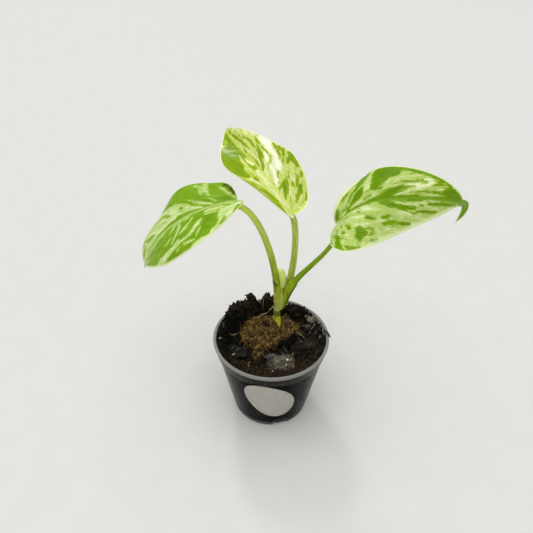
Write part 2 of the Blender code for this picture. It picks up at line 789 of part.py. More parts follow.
def blade_point(leaf, stations, row, across):
    """The upper face at a row, from the right edge (-1) over the midrib (0) to the left (1)."""
    distances, points, _, lefts, ups = stations
    side = "left" if across >= 0.0 else "right"
    half = leaf[side]
    share = abs(across)
    length = leaf["length"]
    edge = half_outline(leaf, side, row)
    part = min(row / BLADE_ROWS, 1.0)
    rib = max(0.0, (part - LOBE_SPAN) / (1.0 - LOBE_SPAN)) ** ROW_POWER * length
    if row > BLADE_ROWS:
        rib = edge[0]
    along = rib * (1.0 - share) + edge[0] * share
    out = edge[1] * share
    place = min(max(along / length, 0.0), 1.0)
    ear = half["ear"] * max(0.0, 1.0 - along / length / EAR_SPAN) ** 2
    fold = math.radians(half["fold"][0] * (1.0 - place) + half["fold"][1] * place + ear)
    curl = math.radians(half["cup"]) / half["width"] * out / 2.0
    chord = out * np.sinc(curl / math.pi)
    height, waves, phase = half["wave"]
    swell = height * math.sqrt(max(0.0, math.sin(math.pi * part)))
    wave = swell * share**2 * math.sin(math.tau * (waves * part + phase))
    sideways = math.copysign(chord * math.cos(fold + curl), across)
    raised = chord * math.sin(fold + curl) + wave
    point, left, up = (
        np.array([np.interp(along, distances, field[:, axis]) for axis in range(3)])
        for field in (points, lefts, ups)
    )
    return Vector((point + left * sideways + up * raised) * MM)


def make_leaf(name, parts, material):
    leaf = LEAVES[name]
    stations = midrib(leaf)
    rows = BLADE_ROWS + TIP_ROWS

    def blade(shape):
        bmesh.ops.create_grid(shape, x_segments=rows, y_segments=2 * BLADE_COLUMNS, size=1.0)
        for vertex in shape.verts:
            row = round((vertex.co.x + 1.0) / 2.0 * rows)
            across = round(vertex.co.y * BLADE_COLUMNS) / BLADE_COLUMNS
            vertex.co = blade_point(leaf, stations, row, across)
        bmesh.ops.remove_doubles(shape, verts=shape.verts, dist=WELD)
        bmesh.ops.triangulate(shape, faces=shape.faces, quad_method="SHORT_EDGE")

    thing = add_object(name, mesh_from(name, blade), parts, material)
    sheet = thing.modifiers.new("sheet", "SOLIDIFY")
    sheet.thickness = BLADE_THICKNESS
    sheet.offset = -1.0
    return thing


def main():
    clear_scene()
    parts = make_collection("potted variegated monstera")
    cutters = make_collection("cutters", hidden=True)
    plastic = make_material("clear plastic", (0.30, 0.29, 0.27), 0.25)
    paper = make_material("label paper", (0.80, 0.77, 0.72), 0.6)
    earth = make_material("potting mix", (0.013, 0.012, 0.009), 0.95)
    coir = make_material("coir plug", (0.055, 0.034, 0.012), 0.95)
    bark = make_material("pine bark", (0.075, 0.065, 0.045), 0.9)
    green = make_material("leaf stalk", (0.30, 0.36, 0.05), 0.45)
    young = make_material("new leaf", (0.45, 0.52, 0.15), 0.45)
    blade = make_material("leaf blade", (0.30, 0.45, 0.05), 0.4)
    make_pot(parts, cutters, plastic)
    make_label(parts, paper)
    make_mix(parts, cutters, earth)
    make_plug(parts, cutters, coir)
    for name in BARK_CHIPS:
        add_object(name, chip_mesh(name), parts, bark)
    make_stem(parts, cutters, green)
    for name in STALKS:
        make_stalk(name, parts, young if name == "new_leaf" else green)
    for name in LEAVES:
        make_leaf(name, parts, blade)


main()
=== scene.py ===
# Potted variegated monstera: a young plant in a clear nursery pot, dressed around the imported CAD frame.
import json
import math
from functools import partial

import bmesh
import bpy
import numpy as np
from mathutils import Matrix, Vector, noise
from mathutils.bvhtree import BVHTree

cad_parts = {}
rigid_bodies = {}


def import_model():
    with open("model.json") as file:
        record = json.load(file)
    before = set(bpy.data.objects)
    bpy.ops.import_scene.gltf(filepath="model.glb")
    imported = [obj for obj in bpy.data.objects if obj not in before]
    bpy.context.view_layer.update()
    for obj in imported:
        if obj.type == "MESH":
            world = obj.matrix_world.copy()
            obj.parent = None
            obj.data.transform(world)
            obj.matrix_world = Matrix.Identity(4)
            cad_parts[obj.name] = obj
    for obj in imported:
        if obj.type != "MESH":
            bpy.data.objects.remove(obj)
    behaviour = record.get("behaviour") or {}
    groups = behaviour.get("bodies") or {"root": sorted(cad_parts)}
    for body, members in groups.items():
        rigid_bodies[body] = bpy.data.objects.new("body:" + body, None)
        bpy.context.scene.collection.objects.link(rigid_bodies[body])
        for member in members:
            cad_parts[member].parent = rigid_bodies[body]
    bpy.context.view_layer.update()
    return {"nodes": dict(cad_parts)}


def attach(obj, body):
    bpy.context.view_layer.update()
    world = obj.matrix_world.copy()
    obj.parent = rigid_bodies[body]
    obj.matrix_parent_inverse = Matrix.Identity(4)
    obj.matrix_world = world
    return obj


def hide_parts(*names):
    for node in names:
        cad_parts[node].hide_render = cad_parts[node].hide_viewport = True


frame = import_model()
cadNodes = frame["nodes"]
mm = 0.001


def linearColour(text):
    # an sRGB hex colour as the linear one that the shaders take
    parts = [int(text[i : i + 2], 16) / 255 for i in (1, 3, 5)]
    return [p / 12.92 if p <= 0.04045 else ((p + 0.055) / 1.055) ** 2.4 for p in parts] + [1.0]


def addNode(tree, kind, values=None):
    # one node: a value that is a node or a socket is linked in, any other is set
    node = tree.nodes.new(kind if "Node" in kind else "ShaderNode" + kind)
    for key, value in (values or {}).items():
        if isinstance(value, str) and value.startswith("#"):
            value = linearColour(value)
        if key == "stops":
            ramp = node.color_ramp
            while len(ramp.elements) < len(value):
                ramp.elements.new(1.0)
            for element, (place, colour) in zip(ramp.elements, value):
                element.position = place
                element.color = linearColour(colour)
        elif isinstance(value, (bpy.types.Node, bpy.types.NodeSocket)):
            socket = value.outputs[0] if isinstance(value, bpy.types.Node) else value
            tree.links.new(socket, node.inputs[key])
        elif isinstance(key, str) and hasattr(node, key):
            setattr(node, key, value)
        else:
            node.inputs[key].default_value = value
    return node


def newMaterial(name):
    # an empty material, and the call that adds a node to it
    material = bpy.data.materials.new(name)
    material.use_nodes = True
    material.node_tree.nodes.clear()
    return material, partial(addNode, material.node_tree)


def newObject(name, mesh):
    thing = bpy.data.objects.new(name, mesh)
    bpy.context.scene.collection.objects.link(thing)
    return thing


def finished(thing, material, sharpAngle=180.0):
    thing.data.materials.clear()
    thing.data.materials.append(material)
    smoothed(thing.data, sharpAngle)
    return thing


def meshFrom(name, vertices, faces, fields=None, merge=0.004):
    # a welded mesh in metres from points in millimetres, with its point attributes
    mesh = bpy.data.meshes.new(name)
    mesh.from_pydata((np.asarray(vertices, float) * mm).tolist(), [], faces)
    for label, values in (fields or {}).items():
        values = np.asarray(values, np.float32)
        kind, key = ("FLOAT_VECTOR", "vector") if values.ndim == 2 else ("FLOAT", "value")
        mesh.attributes.new(label, kind, "POINT").data.foreach_set(key, values.ravel())
    shape = bmesh.new()
    shape.from_mesh(mesh)
    bmesh.ops.remove_doubles(shape, verts=shape.verts, dist=merge * mm)
    bmesh.ops.dissolve_degenerate(shape, edges=shape.edges, dist=merge * mm / 4)
    shape.to_mesh(mesh)
    shape.free()
    return mesh


def smoothed(mesh, sharpAngle=40.0):
    mesh.shade_smooth()
    mesh.set_sharp_from_angle(angle=math.radians(sharpAngle))
    return mesh


def evaluatedMesh(thing):
    # the mesh with its modifiers run, which are then taken off
    graph = bpy.context.evaluated_depsgraph_get()
    mesh = bpy.data.meshes.new_from_object(
        thing.evaluated_get(graph), preserve_all_data_layers=True, depsgraph=graph
    )
    thing.modifiers.clear()
    return mesh


def handOver(piece, slotName, *nodeNames):
    # rides on the plant's one body and stands for its CAD nodes
    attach(piece, "root")
    if nodeNames:
        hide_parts(*nodeNames)
    return piece


def newGrower(name, inputs):
    # an empty Geometry Nodes tree with named inputs
    tree = bpy.data.node_groups.new(name, "GeometryNodeTree")
    tree.interface.new_socket("Geometry", in_out="INPUT", socket_type="NodeSocketGeometry")
    for label, kind, value in inputs:
        socket = tree.interface.new_socket(label, in_out="INPUT", socket_type=kind)
        if value is not None:
            socket.default_value = value
    tree.interface.new_socket("Geometry", in_out="OUTPUT", socket_type="NodeSocketGeometry")
    add = partial(addNode, tree)
    return tree, add, add("NodeGroupInput").outputs


def grow(name, host, tree, values):
    # runs the tree on a host object and keeps its result as a plain mesh
    modifier = host.modifiers.new("grow", "NODES")
    modifier.node_group = tree
    for item in tree.interface.items_tree:
        if item.item_type == "SOCKET" and item.in_out == "INPUT" and item.name in values:
            modifier[item.identifier] = values[item.name]
    mesh = evaluatedMesh(host)
    mesh.name = name
    return mesh


def cubic(a, b, c, d, t):
    s = 1.0 - t
    return a * s**3 + b * 3.0 * s * s * t + c * 3.0 * s * t * t + d * t**3


def smoothStep(low, high, value):
    t = np.clip((value - low) / (high - low), 0.0, 1.0)
    return t * t * (3.0 - 2.0 * t)


def roughness3d(points, size, seed):
    # fractal noise about -1 to 1 at points in millimetres
    offset = Vector((seed * 7.1, seed * 3.7, seed * 1.3))
    return np.array([noise.fractal(Vector(p) / size + offset, 0.6, 2.0, 4) for p in points.tolist()])


noiseSpan = {"From Min": 0.3, "From Max": 0.7}  # what a noise pattern mostly fills


def unit(vectors):
    return vectors / np.linalg.norm(vectors, axis=-1, keepdims=True)


def spreadOut(places, known, values):
    # the columns of values, read off at other places
    return np.stack([np.interp(places, known, column) for column in values.T], 1)


def eased(values, times):
    # rounds off everything but the ends
    for _ in range(times):
        values[1:-1] = (values[:-2] + 2.0 * values[1:-1] + values[2:]) / 4.0
    return values


def tubeRings(way, lean, across, through, sides):
    # a ring round each point of a way, with its half width across and through
    ways = unit(np.gradient(way, axis=0))
    aside = unit(np.cross(ways, lean))
    above = np.cross(aside, ways)
    turns = (np.arange(sides) / sides * math.tau)[None, :, None]
    across, through = np.reshape(across, (-1, 1, 1)), np.reshape(through, (-1, 1, 1))
    rings = way[:, None] + across * np.cos(turns) * aside[:, None]
    return rings + through * np.sin(turns) * above[:, None]


def ringFaces(rows, sides, capped=True):
    # quads from ring to ring, and a face over each end
    index = np.arange(rows * sides).reshape(rows, sides)
    beside = np.roll(index, -1, axis=1)
    quads = np.stack((index[:-1], beside[:-1], beside[1:], index[1:]), -1).reshape(-1, 4).tolist()
    return quads + ([index[0, ::-1].tolist(), index[-1].tolist()] if capped else [])


print("frame loaded")

# The leaves. Sizes in mm, angles in degrees, measured as the frame's own blades are.
bladeMake = {
    "rows": 150, "tipRows": 10,
    "columns": 42,  # from the midrib to each margin
    "thickness": 0.42, "marginThickness": 0.12,
    "grooveDepth": 0.06,  # the midrib's furrow in the upper face
    "grooveWidth": 0.55,
    "keelDepth": (1.15, 0.2),  # the midrib under the blade, at its foot and its tip
    "keelWidth": (1.0, 0.45),
    "veinSpacing": 4.6,  # between side veins, along the midrib
    "veinWidth": 0.6, "veinDepth": 0.09,
    "veinSwell": 0.072,  # how far a side vein stands out below
    "veinLean": (0.25, 0.7),  # how the side veins lean forward at the leaf's foot, and more at its tip
    "veinCurve": 0.018, "lobeSpan": 0.22, "rowPower": 1.15, "earSpan": 0.2, "notchBack": 1.6,
    "notchOut": 0.12,
    "fadeWidth": 1.4,  # where a half is narrower than this, its relief and thickness fade out
    "tipMargin": 0.6,  # the pale margin's width towards the point
    "shareCrowding": 1.25,  # columns crowd towards the midrib
    "ribSteps": 40,
    "ribStripe": 0.55,  # half width of the midrib's own colour
    "fleckLean": (1.5, 0.8),  # flecks run nearer the midrib's way than the side veins do, most at the tip
    "fleckShift": 40.0  # sets the two halves' flecks apart
}
leaves = {
    "leafLeft": {
        "node": "leaf_left", "base": (-15.2, -0.7, 123.2), "length": 61.8, "azimuth": 182.9,
        "elevation": -9.1, "roll": -19.0, "arch": (-57.0, -74.3), "sway": (7.4, 6.3), "twist": -5.0,
        "tip": (2.0, 0.5), "tipBend": (-20.0, 0.0), "tipTwist": 0.0,
        # browned spots: along, out, radius
        "worn": (
            (3.8, -8.8, 1.3), (2.4, -7.0, 1.3), (1.3, -5.2, 1.2), (0.7, -3.6, 0.9), (62.6, 0.0, 1.4)
        ),
        # how much wider the pale margin is, near the leaf's foot and beyond: left, then right
        "paleEdge": ((1.0, 1.3), (1.0, 1.0)),
        "left": {
            "width": 18.9, "lobe": 6.0, "widest": 0.39, "lobeRound": 0.72, "sideRound": 0.51,
            "point": (0.14, 0.80), "fold": (16.6, 3.0), "ear": 13.0, "cup": -25.8,
            "wave": (0.47, 2.23, 0.31)
        },
        "right": {
            "width": 18.9, "lobe": 1.7, "widest": 0.38, "lobeRound": 0.65, "sideRound": 0.33,
            "point": (0.14, 0.91), "fold": (23.4, 13.2), "ear": 7.7, "cup": -43.5,
            "wave": (1.63, 2.66, -0.16)
        }
    },
    "leafMiddle": {
        "node": "leaf_middle", "base": (8.6, 1.7, 116.0), "length": 60.7, "azimuth": 129.0,
        "elevation": 37.9, "roll": -8.2, "arch": (-36.3, -29.7), "sway": (17.1, -18.9), "twist": -44.3,
        "tip": (0.9, 0.5), "tipBend": (-20.0, 0.0), "tipTwist": 0.0, "worn": (),
        "paleEdge": ((1.0, 0.7), (1.0, 0.5)),
        "left": {
            "width": 17.4, "lobe": 4.3, "widest": 0.33, "lobeRound": 0.57, "sideRound": 0.36,
            "point": (0.14, 0.62), "fold": (27.2, 6.3), "ear": 4.1, "cup": 40.8,
            "wave": (0.43, 2.23, 0.30)
        },
        "right": {
            "width": 15.7, "lobe": 1.6, "widest": 0.35, "lobeRound": 0.94, "sideRound": 0.10,
            "point": (0.14, 1.01), "fold": (15.0, 11.5), "ear": 6.7, "cup": -16.8,
            "wave": (1.29, 2.30, 0.0)
        }
    },
    "leafRight": {
        "node": "leaf_right", "base": (28.3, 1.1, 112.6), "length": 57.0, "azimuth": -29.2,
        "elevation": 59.7, "roll": 27.4, "arch": (-98.7, -112.1), "sway": (-56.0, -5.7), "twist": 67.3,
        "tip": (17.5, 1.8), "tipBend": (-10.0, -115.0), "tipTwist": 65.0, "worn": (),
        "paleEdge": ((2.6, 1.0), (1.0, 3.2)),
        "left": {
            "width": 16.9, "lobe": 5.6, "widest": 0.27, "lobeRound": 0.48, "sideRound": 0.05,
            "point": (0.15, 0.99), "fold": (25.5, -0.3), "ear": -2.9, "cup": -57.6,
            "wave": (1.13, 2.54, 0.56)
        },
        "right": {
            "width": 19.1, "lobe": 7.7, "widest": 0.05, "lobeRound": 0.55, "sideRound": 0.41,
            "point": (0.13, 0.51), "fold": (13.2, -9.7), "ear": 0.2, "cup": -32.6,
            "wave": (0.75, 2.43, 0.22)
        }
    }
}

# The variegation, brushed on in order. Each stroke is a tone from -1 (deep green) to 1 (cream), then
# its way as distance along the midrib, distance from it (plus on the left half) and half width, in mm.
leftStrokes = (
    (0.9, (-9, 0.6, 1.4), (-5, 1.2, 1.6), (-2, 2.4, 1.2)),
    (-0.7, (-7, 3.2, 0.6), (-4, 4.8, 0.9), (-2.4, 6, 0.5)),
    (0.95, (-1, 3, 1.6), (1, 10, 1.5), (7, 14, 1.6), (14, 17, 1.2), (20, 18, 0.8)),
    (0.75, (3, 3, 2.5), (5, 8, 2.8), (5, 12, 2.2), (8, 14.5, 1.8)),
    (0.35, (3, 2, 1.5), (9, 3.5, 2), (13, 3, 1.6)), (-0.8, (-1, 6, 0.5), (0, 8.5, 0.7), (1, 10, 0.3)),
    (-0.6, (4.8, 11, 0.4), (6.3, 13, 0.8)), (-0.6, (2.5, 3.4, 0.3), (4.5, 1.8, 0.4), (6, 0.8, 0.2)),
    (-1, (10.5, 7.5, 2), (14, 13, 3), (17, 14, 1.8)), (-0.9, (15.5, 3, 1.4), (18.5, 2.5, 1.4)),
    (0.8, (15.5, 10.5, 0.2), (16.8, 12.2, 0.7), (17.8, 14, 0.2)),
    (0.8, (15.2, 6, 0.3), (17, 7.8, 0.9), (19, 10, 0.8), (21, 11.5, 0.8), (25, 12.2, 0.6)),
    (
        0.9, (22, 12, 0.4), (28, 12.6, 0.7), (33, 13.2, 0.9), (38, 13.9, 1.5), (41.5, 13.5, 1.2),
        (44.4, 12.9, 0.3)
    ),
    (0.6, (27.6, 11.3, 0.9), (29, 12, 0.8)), (0.5, (18.8, 15.8, 0.3), (21, 15, 0.5), (24.6, 14.4, 0.6)),
    (0.6, (26, 14.7, 0.2), (29, 15.6, 0.35)),
    (0.7, (19.6, 2.8, 0.3), (21, 5, 0.8), (23.2, 6.6, 0.8), (26, 8, 0.4)),
    (0.6, (27, 2.2, 0.5), (26.4, 4.4, 0.8), (28, 7, 0.7), (31, 10.2, 0.5)),
    (0.5, (28.6, 0.8, 0.4), (30.6, 3.2, 0.7), (32.3, 4.6, 0.3)),
    (0.5, (31.2, 6.8, 0.3), (34, 8.2, 0.6), (37, 8.1, 0.2)), (0.1, (22, 1.4, 0.8), (27, 1, 0.7)),
    (0.45, (51, 5.6, 0.3), (56, 3.2, 0.9), (61, 0.5, 0.5)),
    (0.2, (36, 1.4, 0.9), (46, 2.2, 1.2), (55, 1.2, 0.7)),
    (0.5, (0, -1.2, 0.4), (3, -4, 0.5), (5, -7, 0.5), (7, -9.5, 0.3)),
    (0.6, (10, -0.9, 0.2), (13, -2.2, 0.4), (17, -4.4, 0.45), (20.5, -7, 0.3)),
    (0.3, (8.6, -1.6, 0.2), (11, -4.2, 0.35)), (0.35, (11.5, -6, 0.5), (12.6, -10, 1), (13.2, -15, 1.1)),
    (0.25, (14.5, -8, 0.8), (15, -13, 1.1), (17.5, -15, 1)),
    (
        0.95, (15, -0.6, 0.5), (20, -2.3, 1.3), (28, -4.6, 2.6), (38, -5, 3.6), (50, -4, 3.2),
        (60, -1, 0.9)
    ),
    (0.85, (21, -4.4, 0.8), (28, -7.6, 1.8), (34, -8.6, 1.8)),
    (0.6, (36, -9.5, 2), (41, -9.5, 3.4), (47, -7.5, 2.5), (53, -4.6, 1.6)),
    (-0.8, (24.3, -4.7, 0.6), (24.9, -5.1, 0.5)),
    (-0.5, (31, -5.4, 0.3), (35, -7.4, 0.5), (39, -9, 0.4), (45, -9.7, 0.3)),
    (-0.7, (43.5, -3.4, 0.3), (47, -4.3, 0.8), (50, -4.7, 0.4)),
    (-0.6, (52, -3.6, 0.2), (55, -3.2, 0.6), (58, -2, 0.3)),
    (-0.7, (15, -0.4, 0.2), (22, -1.3, 0.35), (27.5, -2, 0.2)),
    (-0.6, (24, -0.7, 0.15), (33, -0.9, 0.3), (42, -0.7, 0.15))
)
middleStrokes = (
    (
        0.55, (-1, 2.5, 2.2), (3, 2.6, 2.6), (10, 2.2, 2.2), (17, 4.2, 2.8), (21, 8, 1.6),
        (21.8, 10.5, 0.8)
    ),
    (0.5, (12, 1.4, 1.4), (20, 2.2, 2), (26, 1.6, 1.2)),
    (-0.45, (2, 6.2, 1.2), (8, 6, 1.8), (14, 7.6, 1.6), (19, 9.4, 1.2)),
    (-0.3, (4, 10, 2), (11, 13, 2.6), (18, 15, 2.2)),
    (0.3, (21.6, 11, 0.5), (22.6, 15, 0.9), (23, 17, 0.8)),
    (-1, (25.5, 9, 2.2), (29, 11, 4.2), (38, 9, 3.2), (47, 6.2, 2)),
    (-1, (33, 6.6, 2.2), (42, 3, 2.2), (50, 2.4, 1.5), (57, 1, 0.8)),
    (-0.8, (27.5, 1.6, 0.5), (33, 1.9, 1.1), (40, 1.7, 1.2)), (-0.5, (20.8, 5.4, 0.6), (21.6, 6.2, 0.7)),
    (0.55, (24, 3.8, 0.5), (31, 4.2, 0.7), (35, 3.7, 0.5), (39, 3, 0.3)),
    (0.35, (23.6, 6, 0.3), (29, 6.2, 0.4)), (0.2, (50, 3.8, 0.3), (54, 2.8, 0.3)),
    (1.35, (17, -2.4, 1), (22, -5.6, 2.4), (28, -7.4, 2.6), (34, -10.5, 1.6), (42, -9, 0.7)),
    (0.75, (42, -9, 0.9), (49, -6.6, 0.8), (55, -3.8, 0.4)),
    (0.7, (30.5, 1, 0.6), (33, 1.6, 0.9), (35.6, 1.4, 0.4)),
    (0.8, (18, -1.4, 0.8), (26, -2.6, 1.4), (31, -3.2, 0.8)),
    (-0.8, (7.2, -0.9, 0.2), (10, -2.6, 0.9), (13.4, -4.8, 1.1)),
    (-0.8, (13, -1.4, 0.3), (13.6, -3.4, 0.7), (14.3, -5.5, 0.5)),
    (-0.8, (5.2, -5.8, 0.2), (7.4, -8.2, 0.85), (9.4, -10, 0.8)),
    (-0.2, (1.8, -5.5, 0.4), (3.6, -9, 0.6), (5.5, -11, 0.4)), (-0.6, (3.8, -4.2, 0.3), (6.6, -6, 0.3)),
    (-0.6, (10, -8.2, 0.2), (11.8, -10.2, 0.45), (14, -11.6, 0.3)),
    (-0.5, (10.8, -6.8, 0.3), (12, -7.5, 0.4)), (-0.6, (12.6, -12.6, 0.3), (13.8, -13.6, 0.5)),
    (-0.5, (15.2, -2.8, 0.3), (15.9, -3.1, 0.3)),
    (-0.4, (17.2, -3.8, 0.2), (18.6, -4.4, 0.5), (19.8, -5.6, 0.3)),
    (-0.2, (15, -7.4, 0.3), (17.4, -9, 0.4)),
    (-0.9, (17.2, -14, 0.4), (20.6, -14, 0.9), (23.6, -14.7, 0.6)),
    (-0.8, (20.6, -11.2, 0.3), (21.6, -12.6, 0.7)),
    (-0.8, (22.2, -10.2, 0.2), (25, -12.4, 0.45), (27, -13.8, 0.4)),
    (-0.6, (24.2, -9.8, 0.2), (26, -10.9, 0.4)),
    (-0.7, (26.6, -11, 0.3), (28.8, -12.6, 0.9), (30.6, -11.9, 0.3)),
    (-0.6, (30.5, -11.8, 0.2), (32.5, -12.6, 0.3)),
    (
        -0.7, (25, -0.8, 0.2), (27.6, -2.6, 0.35), (31, -3.6, 0.6), (34, -5.2, 0.6), (38, -7, 0.25),
        (41, -8, 0.1)
    ),
    (-0.8, (30, -4.8, 0.3), (33, -5.2, 0.6), (35, -5.1, 0.3)),
    (-0.4, (25.4, -3.8, 0.2), (26, -6, 0.35), (28, -7.4, 0.3), (31.6, -7.6, 0.25), (35, -7.5, 0.2)),
    (-0.6, (36.6, -8, 0.1), (40, -8.3, 0.3), (42.4, -8.4, 0.1)),
    (-0.6, (37, -5, 0.2), (41, -5.6, 0.4), (47, -5, 0.2)),
    (-0.5, (39, -2.8, 0.2), (45, -2.6, 0.4), (52, -1.6, 0.4), (57, -1.2, 0.3)),
    (-0.3, (46, -3.8, 0.1), (50, -3.6, 0.25), (54, -3.3, 0.1)),
    (-0.3, (28, -1, 0.1), (35, -1, 0.25), (41, -0.8, 0.1))
)
rightStrokes = (
    (-1, (0.2, 2, 1), (0.6, 4.6, 1.1)), (-0.7, (1.8, 3.2, 0.8), (1.6, 4.8, 0.6)),
    (1.3, (-1.5, 5, 1), (3, 9.8, 1.3), (8, 13.2, 1.7), (12, 15, 1)),
    (-0.4, (5.5, 7.4, 0.5), (7, 8.6, 0.8), (8, 9.4, 0.5)), (-0.5, (4.5, 2.2, 0.3), (6.8, 2.6, 0.4)),
    (-0.9, (7, 1, 0.4), (10.5, 3, 1), (14, 5.8, 1.6), (14.6, 7.4, 0.8)),
    (-0.3, (8.6, 5, 0.4), (10, 7.5, 0.6)),
    (-0.8, (11.4, 8, 0.4), (13, 10.6, 1.1), (14.6, 13.4, 1.8), (15.4, 15.8, 1.8)),
    (0.6, (15.6, 4.8, 0.9), (16.6, 8.5, 1.1), (17.2, 11, 1), (17.4, 13, 0.5)),
    (-1, (19.4, 6.2, 1.3), (21.4, 9, 2.9), (22.6, 12, 3.6), (26.6, 11.6, 2.4), (28.8, 12.2, 0.6)),
    (-0.5, (28.8, 12, 0.3), (30.8, 11, 0.4)),
    (0.5, (8, 1.2, 0.2), (15, 2.4, 0.9), (20, 4, 1), (25, 6.4, 1.2), (29.5, 9.2, 0.9), (33, 11, 0.6)),
    (-0.4, (15, 2.3, 0.2), (17.6, 2.9, 0.35)), (-0.4, (20, 4.6, 0.2), (22, 5, 0.25)),
    (
        -0.9, (5, 0.2, 0.1), (14, 0.2, 0.15), (20, 0.8, 0.5), (25, 2.3, 1.4), (28.6, 4.2, 0.8),
        (30, 5.2, 0.2)
    ),
    (-0.8, (20, 0.2, 0.5), (30, 0.3, 0.6), (40, 0.3, 0.3), (48, 0.8, 0.6), (57, 0.6, 0.7)),
    (0.75, (32, 3.4, 1.2), (39, 3.2, 1.2), (44, 3.6, 0.8)),
    (1.2, (33, 4.8, 1.4), (36, 5.6, 1.8), (40, 6.6, 1.2)),
    (-0.45, (29.4, 6.4, 0.2), (33, 6.2, 0.25), (37, 6.9, 0.3)),
    (-0.4, (29, 3, 0.3), (32, 4.2, 0.35), (34, 4.6, 0.2)),
    (-0.4, (32.6, 2, 0.2), (36, 2.4, 0.3), (40, 2.9, 0.2)), (-0.4, (36.4, 5.9, 0.15), (38.4, 6.5, 0.35)),
    (
        -0.9, (29, 13.2, 0.3), (32, 11.8, 0.7), (36, 10.8, 0.8), (40, 9.6, 0.6), (45, 7.8, 0.5),
        (49, 5.8, 0.4)
    ),
    (-0.5, (40.6, 5.2, 0.2), (44, 6.2, 0.45), (46, 6.4, 0.2)), (-0.5, (41, 3, 0.3), (45, 2.6, 0.6)),
    (-1, (46.6, 3, 1), (49, 3.5, 1.8), (52, 2.2, 1.6), (56, 0.8, 0.9)),
    (-0.3, (-4.2, -6.4, 0.2), (-1.8, -8.4, 0.4)),
    (-0.75, (-0.8, -9.4, 0.5), (0, -11.6, 1.2), (-0.4, -15, 1.6), (1, -17.8, 1)),
    (-0.3, (-5, -9.5, 0.6), (-4.4, -12, 0.6)), (-0.4, (-0.6, -5.2, 0.2), (0.2, -6.6, 0.35)),
    (-0.3, (1.8, -5, 0.2), (2.8, -6.2, 0.3)), (-0.6, (5.4, -6.4, 0.3), (6.4, -7.6, 0.7), (7, -8.8, 0.4)),
    (-0.5, (3.2, -9.8, 0.5), (3.9, -10.2, 0.4)), (-0.2, (11.2, -1.8, 0.2), (12.4, -2.8, 0.3)),
    (-1, (10.6, -10.4, 1), (12.6, -12.2, 1.5), (10.2, -13, 1.4), (10.6, -14.6, 0.5)),
    (-0.5, (9, -15.6, 0.3), (9.6, -16.2, 0.3)),
    (-0.7, (3.2, -17, 0.4), (5, -18.2, 0.8), (8.6, -18.1, 0.4)),
    (-0.8, (15.2, -6, 0.4), (16.6, -6.8, 0.6), (18.4, -7.3, 0.4)),
    (-0.8, (21.8, -7.3, 0.4), (23.8, -7, 0.6)),
    (-0.6, (22.2, -9.2, 0.2), (24.6, -9.2, 0.45), (27, -9.5, 0.3)),
    (-0.7, (22, -10, 0.2), (25, -9.9, 0.35), (28, -10.1, 0.2)),
    (-0.8, (28.2, -10.1, 0.25), (31, -9.9, 0.5), (33.4, -10.2, 0.3)),
    (-0.6, (15, -10.4, 0.2), (17, -11.4, 0.4)), (-0.5, (15.4, -13.4, 0.25), (16.4, -13.2, 0.3)),
    (-0.7, (15.2, -15.8, 0.3), (16.6, -16.3, 0.6), (18, -15.9, 0.3)),
    (-0.6, (34.4, -6, 0.2), (36, -5.6, 0.3)), (-0.7, (36, -5.3, 0.2), (40, -4.8, 0.45), (45, -5.1, 0.35)),
    (-0.6, (37.2, -2.7, 0.2), (38, -2.7, 0.25)),
    (-0.9, (21, -0.8, 0.3), (25, -2.6, 0.8), (30, -3.6, 0.9), (34.6, -4.1, 0.5)),
    (-0.9, (22, -0.6, 0.5), (30, -0.5, 0.6), (37, -0.6, 0.5)),
    (0.5, (25, -0.9, 0.15), (28, -1.8, 0.3), (32.5, -2.6, 0.2)), (0.4, (27, -0.5, 0.15), (31, -1.2, 0.3)),
    (-0.6, (40, -2, 0.2), (46, -1.5, 0.5), (54, -0.9, 0.3)),
    # the drip tip: deep green, partly its own colour and partly painted shade on the face it turns over
    (-0.8, (56.5, 0, 0.8), (60, 0, 2.4), (76, 0, 2.4))
)
variegation = {
    # halves: the tone of the left and the right half under the strokes
    "leafLeft": {"halves": (-0.75, -0.75), "soft": 1.1, "flecked": 0.6, "strokes": leftStrokes},
    "leafMiddle": {"halves": (-0.2, 0.45), "soft": 1.2, "flecked": 0.85, "strokes": middleStrokes},
    "leafRight": {"halves": (0.38, 0.48), "soft": 1.1, "flecked": 0.88, "strokes": rightStrokes}
}


def toneAt(along, out, paint):
    # lays the strokes one over the other at points of the blade
    leftTone, rightTone = paint["halves"]
    tone = np.where(out >= 0.0, leftTone, rightTone) * np.ones_like(along)
    for level, *way in paint["strokes"]:
        cover = np.full(along.shape, -1e9)
        for (a0, o0, r0), (a1, o1, r1) in zip(way, way[1:]):
            da, do = a1 - a0, o1 - o0
            t = np.clip(((along - a0) * da + (out - o0) * do) / (da * da + do * do + 1e-9), 0.0, 1.0)
            gap = np.hypot(along - a0 - t * da, out - o0 - t * do)
            cover = np.maximum(cover, r0 + (r1 - r0) * t - gap)
        weight = smoothStep(-0.5, 0.5, cover / paint["soft"] + 0.15)
        tone = tone + (level - tone) * weight
    return tone


def walkRib(leaf, start, step, end):
    # steps along the bending, twisting midrib, as the frame's leaves do
    length = leaf["length"]
    distance, point, forward, left, up = start
    stations = []
    while (distance - end) * step < 0.0:
        part = min(max((distance + step / 2.0) / length, 0.0), 1.0)
        arch, sway = (a * (1.0 - part) + b * part for a, b in (leaf["arch"], leaf["sway"]))
        share = step / length
        if distance >= length:
            arch, sway = (angle * length / leaf["tip"][0] for angle in leaf["tipBend"])
        point = point + forward * step
        bend = Matrix.Rotation(math.radians(-arch * share), 3, left)
        forward, up = bend @ forward, bend @ up
        swing = Matrix.Rotation(math.radians(sway * share), 3, up)
        forward, left = swing @ forward, swing @ left
        spin = Matrix.Rotation(math.radians(leaf["twist"] * share), 3, forward)
        left, up = spin @ left, spin @ up
        distance += step
        stations.append((distance, point, forward, left, up))
    return stations


